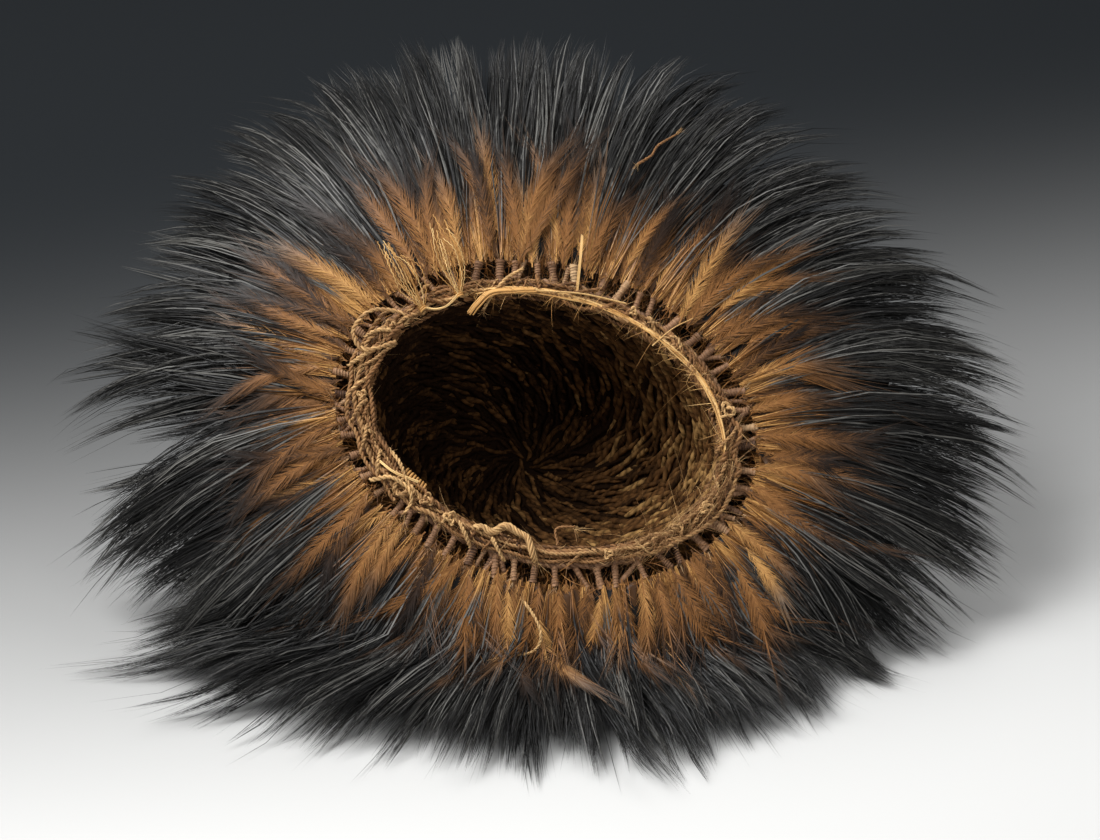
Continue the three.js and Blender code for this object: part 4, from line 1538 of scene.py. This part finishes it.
@dataclass
class BrownVanes:
    """The leaf-shaped brown vanes at the roots of the feathers that grow from the posts."""

    plumage: Plumage
    random: Generator
    count: int = 310
    barbs: int = 116
    shortest: float = 32 * MM
    longest: float = 66 * MM
    half_width: float = 6.6 * MM
    barb_width: float = 0.42 * MM
    starts: tuple[float, ...] = (-4 * MM, 5 * MM, 14 * MM)
    start_shares: tuple[float, ...] = (0.62, 0.24, 0.14)
    start_spread: float = 4
    yaw_spread: float = 0.19
    bend_spread: float = 3.6
    quill_width: float = 0.5 * MM
    quill_taper: tuple[float, ...] = (0.8, 0.6, 0.4, 0.25)
    quill_rows: int = 5
    quill_end: float = 0.92
    lean_at_root: float = 30 * DEG
    lean_at_tip: float = 11 * DEG
    lean_noise: float = 0.13
    leans: Span = (6 * DEG, 45 * DEG)
    down_count: int = 2200
    down_width: float = 0.5 * MM

    def build(self, piece_name: str, sector: FeatherSector, material: Material) -> Object:
        """Build the vanes of one stretch of the rim, which share its CAD node with the long feathers.

        Args:
            piece_name: The name of the piece.
            sector: The stretch.
            material: Its material.

        Returns:
            The new object.
        """
        mesh, random, plumage = StrandMesh(), self.random, self.plumage
        ring, opening = RINGS[sector.ring], self.plumage.opening
        start, end = sector.start / ring.locks, sector.end / ring.locks
        count = int(self.count * (end - start))
        share = start + (end - start) * (np.arange(count) + random.uniform(0, 1, count)) / count
        path, side, face = plumage.guides(ring, share)
        normal = opening.outward(opening.angle_at(share), opening.post_end_offset())
        full = plumage.length * ring.reach * plumage.fan_length(normal)
        length = random.uniform(self.shortest, self.longest, count)
        base = random.choice(self.starts, count, p=self.start_shares)
        base = base + random.uniform(0, self.start_spread, count) * MM
        yaw, bend = random.normal(0, self.yaw_spread, count), random.normal(0, self.bend_spread, count)
        above = random.uniform(-0.2, 1.1, count)
        rise = random.uniform(0.0, 0.12, count)
        width = self.half_width * random.uniform(0.7, 1.15, count)
        tone = np.clip(random.normal(0.4, 0.19, count), 0.02, 1)
        first_way = unit(path[:, 1] - path[:, 0])

        def point(owner: Array, distance: Array, across: Array, lift: Array) -> Array:
            """Points of vanes: along the quill, across it, and out of the face."""
            reach = base[owner][:, None] + distance
            place = np.clip(reach / full[owner][:, None], 0, 1)
            behind = first_way[owner][:, None] * np.minimum(reach, 0)[..., None]
            middle = plumage.sample(path, owner, place) + behind
            half = plumage.thickness(ring, place, np.ones_like(place), middle[..., 2]) / 2
            sides, faces = plumage.sample(side, owner, place), plumage.sample(face, owner, place)
            sway = across + distance * (yaw[owner][:, None] + bend[owner][:, None] * distance)
            raised = half * above[owner][:, None] + lift + distance * rise[owner][:, None]
            placed = middle + sides * sway[..., None] + faces * raised[..., None]
            placed[..., 2] = np.maximum(placed[..., 2], FLOOR_CLEARANCE)
            return placed

        owner = np.arange(count)
        t = np.linspace(0, self.quill_end, self.quill_rows)[None].repeat(count, 0)
        quill = point(owner, t * length[:, None], np.zeros_like(t), np.zeros_like(t))
        across_quill = unit(plumage.sample(side, owner, np.zeros_like(t)))[:, :-1]
        thick = np.array(self.quill_taper)[None, :, None] * self.quill_width
        mesh.ribbons(quill, across_quill * thick, np.clip(tone - 0.3, 0, 1), 0.02 + 0.2 * t)

        owner = np.repeat(np.arange(count), self.barbs * 2)
        total = len(owner)
        hand = np.tile(np.repeat([-1.0, 1.0], self.barbs), count)
        foot = np.tile(np.linspace(0.04, 0.97, self.barbs), count * 2)
        foot = np.clip(foot + random.normal(0, 0.01, total), 0, 1)
        leaf = np.sin(math.pi * foot ** 0.75) ** 0.7 * 0.85 + 0.15
        barb = width[owner] * leaf * random.uniform(0.75, 1.2, total)
        lean = blend(self.lean_at_root, self.lean_at_tip, foot) + random.normal(0, self.lean_noise, total)
        forward = barb / np.tan(np.clip(lean, *self.leans))
        t = np.array([0.0, 1.0])[None]
        distance = foot[:, None] * length[owner][:, None] + forward[:, None] * t * 0.85
        across = hand[:, None] * barb[:, None] * t
        lift = -0.8 * MM * t + random.normal(0, 0.8, total)[:, None] * MM * t
        points = point(owner, distance, across, lift)
        edge_way = unit(points[:, 1:] - points[:, :-1])
        edge = unit(np.cross(edge_way, plumage.sample(face, owner, np.zeros((total, 1)))))
        half = self.barb_width * random.uniform(0.35, 0.65, total)[:, None, None]
        along = 0.03 + 0.27 * np.clip(distance / length[owner][:, None], 0, 1.1)
        shade = np.clip(tone[owner] + random.normal(0, 0.07, total), 0.02, 1)
        mesh.ribbons(points, edge * half, shade, along)
        self._down(mesh, start, end)
        piece = mesh.build(piece_name, material, Slot.FEATHER)
        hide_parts(sector.node)
        return piece

    def _down(self, mesh: StrandMesh, start: float, end: float) -> None:
        """Add the soft brown down that fills the gaps behind the posts."""
        random, opening = self.random, self.plumage.opening
        count = int(self.down_count * (end - start))
        share = random.uniform(start, end, count)
        offset = random.uniform(opening.outer_cord_offset(), opening.post_end_offset() + 4 * MM, count)
        height = random.uniform(-7, -2.5, count) * MM
        foot = opening.rim_point(share, offset, height)
        way = unit(opening.rim_point(share, offset + 8 * MM, height) - foot) + 0.35 * opening.axes()[2]
        shade = random.uniform(0.02, 0.55, count)
        length = random.uniform(7, 19, count) * MM
        CordMaker(mesh, random).hairs(foot, way, length, 0.5, self.down_width, shade, 0.15)


class NodeTree:
    """Adds nodes to a shader tree and links them."""

    def __init__(self, tree: ShaderNodeTree) -> None:
        """Keep the tree that nodes are added to."""
        self.tree = tree

    def add(self, kind: str, **settings: object) -> Node:
        """Add a node and set its properties."""
        node = self.tree.nodes.new(kind)
        for name, value in settings.items():
            setattr(node, name, value)
        return node

    def put(self, socket: NodeSocket, value: object) -> None:
        """Link a socket to another, or set its value."""
        if isinstance(value, NodeSocket):
            self.tree.links.new(value, socket)
        else:
            socket.default_value = value

    def math(self, operation: str, *values: object) -> NodeSocket:
        """Add a math node over sockets and numbers, and return its result."""
        node = self.add("ShaderNodeMath", operation=operation)
        for socket, value in zip(node.inputs, values):
            self.put(socket, value)
        return node.outputs[0]

    def span(self, value: object, low: float, high: float) -> NodeSocket:
        """Add a smooth step of a value from 0 at low to 1 at high, and return its result."""
        node = self.add("ShaderNodeMapRange", interpolation_type="SMOOTHSTEP")
        self.put(node.inputs["Value"], value)
        node.inputs["From Min"].default_value = low
        node.inputs["From Max"].default_value = high
        return node.outputs["Result"]

    def mix(self, share: object, near: object, far: object, way: str = "MIX") -> NodeSocket:
        """Add a colour mix and return its result."""
        node = self.add("ShaderNodeMix", data_type="RGBA", blend_type=way)
        self.put(node.inputs[0], share)
        self.put(node.inputs[6], near)
        self.put(node.inputs[7], far)
        return node.outputs[2]


def new_group(name: str, inputs: dict[str, str],
              outputs: dict[str, str]) -> tuple[ShaderNodeTree, NodeTree, Node, Node]:
    """Make an empty shader node group.

    Args:
        name: Its name.
        inputs: The type of each input socket, by name.
        outputs: The type of each output socket, by name.

    Returns:
        The group, the tree to add nodes to, and its input and output nodes.
    """
    group = bpy.data.node_groups.new(name, "ShaderNodeTree")
    for socket, kind in inputs.items():
        group.interface.new_socket(socket, in_out="INPUT", socket_type=kind)
    for socket, kind in outputs.items():
        group.interface.new_socket(socket, in_out="OUTPUT", socket_type=kind)
    tree = NodeTree(group)
    return group, tree, tree.add("NodeGroupInput"), tree.add("NodeGroupOutput")


class StrandShading:
    """The shader node groups that every strand material is made from."""

    def __init__(self) -> None:
        """Build each group once."""
        self.place = self._place_group()
        self.tones = self._tones_group()
        self.twist = self._twist_group()

    def _place_group(self) -> ShaderNodeTree:
        """A group that reads the shade of a strand, and the place across and along it."""
        outputs = {"Shade": NUMBER, "Across": NUMBER, "Along": NUMBER}
        group, tree, _, result = new_group("strand_place", {}, outputs)
        shade_map = tree.add("ShaderNodeUVMap", uv_map=SHADE_MAP)
        parts = tree.add("ShaderNodeSeparateXYZ")
        tree.put(parts.inputs[0], shade_map.outputs[0])
        column = tree.math("MULTIPLY", parts.outputs["X"], float(SHADES))
        tree.put(result.inputs["Shade"], tree.math("DIVIDE", tree.math("FLOOR", column), float(SHADES - 1)))
        tree.put(result.inputs["Across"], tree.math("FRACT", column))
        tree.put(result.inputs["Along"], parts.outputs["Y"])
        return group

    def _tones_group(self) -> ShaderNodeTree:
        """A group that mixes three tones of one colour by a shade."""
        inputs = {"Shade": NUMBER, "Dark": COLOUR, "Middle": COLOUR, "Light": COLOUR}
        group, tree, given, result = new_group("three_tones", inputs, {"Color": COLOUR})
        lower_share = tree.span(given.outputs["Shade"], 0.0, 0.5)
        lower = tree.mix(lower_share, given.outputs["Dark"], given.outputs["Middle"])
        colour = tree.mix(tree.span(given.outputs["Shade"], 0.5, 1.0), lower, given.outputs["Light"])
        tree.put(result.inputs["Color"], colour)
        return group

    def _twist_group(self) -> ShaderNodeTree:
        """A group that marks the plies and the fine fibres of a twisted strand."""
        inputs = {"Across": NUMBER, "Along": NUMBER, "Shade": NUMBER, "Turns": NUMBER}
        outputs = {"Groove": NUMBER, "Fibre": NUMBER, "Height": NUMBER}
        group, tree, given, result = new_group("twist_marks", inputs, outputs)
        climb = tree.math("MULTIPLY", given.outputs["Along"], given.outputs["Turns"])
        phase = tree.math("MULTIPLY", tree.math("ADD", given.outputs["Across"], climb), FULL_TURN)
        wave = tree.math("MULTIPLY_ADD", tree.math("SINE", phase), 0.5, 0.5)
        groove = tree.math("POWER", wave, 0.6)
        noise = tree.add("ShaderNodeTexNoise", noise_dimensions="3D")
        vector = tree.add("ShaderNodeCombineXYZ")
        round_way = tree.math("ADD", given.outputs["Across"], climb)
        tree.put(vector.inputs["X"], tree.math("MULTIPLY", round_way, 9.0))
        tree.put(vector.inputs["Y"], tree.math("MULTIPLY", given.outputs["Along"], 14.0))
        tree.put(vector.inputs["Z"], tree.math("MULTIPLY", given.outputs["Shade"], 97.0))
        tree.put(noise.inputs["Vector"], vector.outputs[0])
        noise.inputs["Scale"].default_value = 1.0
        noise.inputs["Detail"].default_value = 3.0
        fibre = noise.outputs[0]
        tree.put(result.inputs["Groove"], groove)
        tree.put(result.inputs["Fibre"], fibre)
        tree.put(result.inputs["Height"], tree.math("MULTIPLY_ADD", fibre, 0.5, groove))
        return group

    def instance(self, tree: NodeTree, group: ShaderNodeTree, **values: object) -> Node:
        """Place a group in a material with its own values."""
        node = tree.add("ShaderNodeGroup", node_tree=group)
        for name, value in values.items():
            tree.put(node.inputs[name], value)
        return node

    def toned(self, tree: NodeTree, shade: NodeSocket, tones: Tones) -> NodeSocket:
        """The colour that a shade has among three tones."""
        dark, middle, light = (opaque(tone) for tone in tones)
        node = self.instance(tree, self.tones, Shade=shade, Dark=dark, Middle=middle, Light=light)
        return node.outputs["Color"]


def opaque(colour: Colour) -> tuple[float, float, float, float]:
    """A colour with full alpha."""
    return (*colour, 1.0)


def new_material(name: str, roughness: float, gloss: float) -> tuple[Material, NodeTree, Node]:
    """Make a material, and return it with the tree to add nodes to and its shader."""
    material = bpy.data.materials.new(name)
    material.use_nodes = True
    shader = material.node_tree.nodes["Principled BSDF"]
    shader.inputs["Roughness"].default_value = roughness
    shader.inputs["Specular IOR Level"].default_value = gloss
    return material, NodeTree(material.node_tree), shader


@dataclass(frozen=True)
class FibreFinish:
    """Twisted plant fibre: three tones, how many plies cross a strand, how much painted shade darkens the
    grooves between plies, and how rough it is.
    """

    name: str
    tones: Tones
    turns: float
    painted_groove_shade: float
    roughness: float
    bump: float
    gloss: float = 0.25

    def material(self, shading: StrandShading) -> Material:
        """Make the material."""
        material, tree, shader = new_material(self.name, self.roughness, self.gloss)
        place = shading.instance(tree, shading.place)
        shade, across, along = place.outputs["Shade"], place.outputs["Across"], place.outputs["Along"]
        twist = shading.instance(tree, shading.twist, Across=across, Along=along, Shade=shade,
                                 Turns=self.turns)
        # Fine fibre streaks vary the shade along each ply: the cord's own grain
        grained_shade = tree.math("ADD", shade, tree.math("MULTIPLY_ADD", twist.outputs["Fibre"], 0.5, -0.25))
        colour = shading.toned(tree, grained_shade, self.tones)
        # The grooves between the plies are darkened toward the darkest tone: painted shade
        painted_shade_share = tree.math("MULTIPLY", tree.math("SUBTRACT", 1.0, twist.outputs["Groove"]), self.painted_groove_shade)
        tree.put(shader.inputs["Base Color"], tree.mix(painted_shade_share, colour, opaque(self.tones[0])))
        bump = tree.add("ShaderNodeBump")
        bump.inputs["Strength"].default_value = self.bump
        bump.inputs["Distance"].default_value = 0.3 * MM
        tree.put(bump.inputs["Height"], twist.outputs["Height"])
        tree.put(shader.inputs["Normal"], bump.outputs[0])
        return material


@dataclass(frozen=True)
class FeatherFinish:
    """A feather that is brown at its root and black beyond, each in three tones."""

    name: str
    root_tones: Tones
    hair_tones: Tones
    turn_start: float
    turn_end: float
    unevenness: float
    roughness: float
    gloss: float

    def material(self, shading: StrandShading) -> Material:
        """Make the material."""
        material, tree, shader = new_material(self.name, self.roughness, self.gloss)
        place = shading.instance(tree, shading.place)
        shade, along = place.outputs["Shade"], place.outputs["Along"]
        turn = tree.span(along, self.turn_start, self.turn_end)
        ribs = tree.add("ShaderNodeTexNoise", noise_dimensions="2D")
        spot = tree.add("ShaderNodeCombineXYZ")
        tree.put(spot.inputs["X"], tree.math("MULTIPLY", along, 46.0))
        tree.put(spot.inputs["Y"], tree.math("MULTIPLY", shade, 61.0))
        tree.put(ribs.inputs["Vector"], spot.outputs[0])
        ribs.inputs["Scale"].default_value = 1.0
        ribs.inputs["Detail"].default_value = 2.0
        uneven = tree.math("MULTIPLY_ADD", ribs.outputs[0], self.unevenness, -0.5 * self.unevenness)
        bright_root = tree.math("MULTIPLY_ADD", along, -1.5, 0.24)
        root_shade = tree.math("ADD", tree.math("ADD", shade, bright_root), uneven)
        root = shading.toned(tree, root_shade, self.root_tones)
        hair = shading.toned(tree, tree.math("ADD", shade, uneven), self.hair_tones)
        tree.put(shader.inputs["Base Color"], tree.mix(turn, root, hair))
        return material


CAP_CORD = FibreFinish(
    "looped_cord", ((0.01, 0.0042, 0.0015), (0.115, 0.052, 0.017), (0.36, 0.205, 0.072)),
    turns=3.4, painted_groove_shade=0.65, roughness=0.8, bump=0.8, gloss=0.06)
RIM_CORD = FibreFinish(
    "rim_cord_fibre", ((0.04, 0.016, 0.006), (0.27, 0.13, 0.048), (0.66, 0.41, 0.175)),
    turns=4.0, painted_groove_shade=0.45, roughness=0.7, bump=0.6)
BINDING = FibreFinish(
    "quill_binding_fibre", ((0.05, 0.022, 0.011), (0.31, 0.165, 0.085), (0.6, 0.4, 0.21)),
    turns=5.0, painted_groove_shade=0.35, roughness=0.6, bump=0.6)
PALE_FIBRE = FibreFinish(
    "split_fibre", ((0.22, 0.1, 0.03), (0.6, 0.32, 0.1), (0.88, 0.6, 0.26)),
    turns=0.5, painted_groove_shade=0.2, roughness=0.5, bump=0.3)
# The light hair tone is partly random tone and partly painted sheen, as on the lighter shaft strands
FEATHER = FeatherFinish(
    "brown_to_black_feather", ((0.022, 0.009, 0.003), (0.235, 0.1, 0.028), (0.52, 0.275, 0.085)),
    ((0.002, 0.002, 0.002), (0.0105, 0.0102, 0.0098), (0.11, 0.107, 0.098)),
    turn_start=0.17, turn_end=0.37, unevenness=0.5, roughness=0.45, gloss=0.21)


@dataclass(frozen=True)
class Lamp:
    """A soft square light: its name, its place, the length of its side, and its power in watts."""

    name: str
    place: tuple[float, float, float]
    size: float
    power: float


LAMPS = (Lamp("key_light", (-0.95, -0.2, 1.55), 1.05, 50), Lamp("fill_light", (1.1, -1.5, 1.3), 1.2, 11),
         Lamp("back_light", (0.5, 1.2, 1.6), 1.0, 17))
FLOOR_NEAR = (0.62, 0.62, 0.61)
FLOOR_FAR_SHADE = (0.016, 0.018, 0.02)
ROOM_COLOUR = (0.88, 0.88, 0.9)


@dataclass
class Studio:
    """The pale floor, the soft lights and the camera."""

    opening: Opening
    camera_elevation: float = 30 * DEG
    camera_distance: float = 1450 * MM
    lens: float = 87.9
    frame_offset_right: float = 2.7 * MM
    frame_offset_up: float = 1.1 * MM
    floor_size: float = 12.0
    room_strength: float = 0.2

    def floor(self) -> None:
        """Add the floor, pale by the object and greyer behind it, as a painted falloff of light."""
        mesh = bpy.data.meshes.new("studio_floor")
        half = self.floor_size / 2
        corners = [(-half, -half, 0), (half, -half, 0), (half, half, 0), (-half, half, 0)]
        mesh.from_pydata(corners, [], [(0, 1, 2, 3)])
        floor = bpy.data.objects.new("studio_floor", mesh)
        bpy.context.scene.collection.objects.link(floor)
        material, tree, shader = new_material("studio_paper", 0.9, 0.0)
        place = tree.add("ShaderNodeTexCoord")
        parts = tree.add("ShaderNodeSeparateXYZ")
        tree.put(parts.inputs[0], place.outputs["Object"])
        # The floor darkens from pale by the object to near black behind it: painted falloff of light
        back = tree.math("MULTIPLY_ADD", parts.outputs["X"], -0.35, parts.outputs["Y"])
        near = tree.math("POWER", tree.math("SUBTRACT", 1.0, tree.span(back, -0.35, 0.9)), 3.0)
        painted_falloff = tree.mix(near, opaque(FLOOR_FAR_SHADE), opaque(FLOOR_NEAR))
        tree.put(shader.inputs["Base Color"], painted_falloff)
        mesh.materials.append(material)

    def light(self, lamp: Lamp) -> None:
        """Add a lamp that faces the opening."""
        data = bpy.data.lights.new(lamp.name, "AREA")
        data.shape = "SQUARE"
        data.size = lamp.size
        data.energy = lamp.power
        holder = bpy.data.objects.new(lamp.name, data)
        holder.location = lamp.place
        aim = Vector(self.opening.centre) - Vector(lamp.place)
        holder.rotation_euler = aim.to_track_quat("-Z", "Y").to_euler()
        bpy.context.scene.collection.objects.link(holder)

    def lights(self) -> None:
        """Add the lights and the even light of the room."""
        for lamp in LAMPS:
            self.light(lamp)
        world = bpy.data.worlds.new("studio_room")
        world.use_nodes = True
        room = world.node_tree.nodes["Background"]
        room.inputs["Color"].default_value = opaque(ROOM_COLOUR)
        room.inputs["Strength"].default_value = self.room_strength
        bpy.context.scene.world = world
        bpy.context.scene.view_settings.view_transform = "Standard"

    def camera(self) -> None:
        """Add the camera at the angle of the photograph."""
        sine, cosine = math.sin(self.camera_elevation), math.cos(self.camera_elevation)
        away = Vector((0, -cosine, sine))
        above = Vector((0, sine, cosine))
        target = Vector(self.opening.centre) + Vector((self.frame_offset_right, 0, 0))
        target = target + above * self.frame_offset_up
        data = bpy.data.cameras.new("camera")
        data.lens = self.lens
        data.clip_end = 50
        camera = bpy.data.objects.new("camera", data)
        camera.location = target + away * self.camera_distance
        camera.rotation_euler = (-away).to_track_quat("-Z", "Y").to_euler()
        bpy.context.scene.collection.objects.link(camera)
        bpy.context.scene.camera = camera

    def build(self) -> None:
        """Build the whole studio."""
        self.camera()
        self.lights()
        self.floor()


class Seed(Enum):
    """The seed that each maker draws its chance from."""

    CAP = 11
    RIM = 12
    POSTS = 13
    FIBRES = 14
    FEATHERS = 15
    VANES = 16
    STRANDS = 17

    def source(self) -> Generator:
        """A new source of chance."""
        return np.random.default_rng(self.value)


def main() -> None:
    """Build the headdress piece by piece."""
    logging.basicConfig(level=logging.INFO, format="%(message)s")
    opening = Opening(tuple(HEAD_SEAT))
    Studio(opening).build()
    shading = StrandShading()
    feather = FEATHER.material(shading)
    pale = PALE_FIBRE.material(shading)
    LoopedCap(opening, Seed.CAP.source()).build(CAP_CORD.material(shading))
    rim_fibre = RIM_CORD.material(shading)
    Rim(opening, Seed.RIM.source()).build(rim_fibre)
    QuillPosts(opening, Seed.POSTS.source()).build(BINDING.material(shading))
    fibres = PaleFibres(opening, Seed.FIBRES.source())
    fibres.strip(pale)
    for tassel in TASSELS:
        fibres.tassel(tassel, pale)
    plumage = Plumage(opening)
    coat = FeatherCoat(plumage, Seed.FEATHERS.source())
    for sector in SECTORS:
        coat.build(sector, feather)
    vanes = BrownVanes(plumage, Seed.VANES.source())
    vanes.build("upper_brown_vanes", SECTORS[0], feather)
    vanes.build("lower_brown_vanes", SECTORS[1], feather)
    feather_strands(plumage, Seed.STRANDS.source(), rim_fibre)


if __name__ == "__main__":
    main()
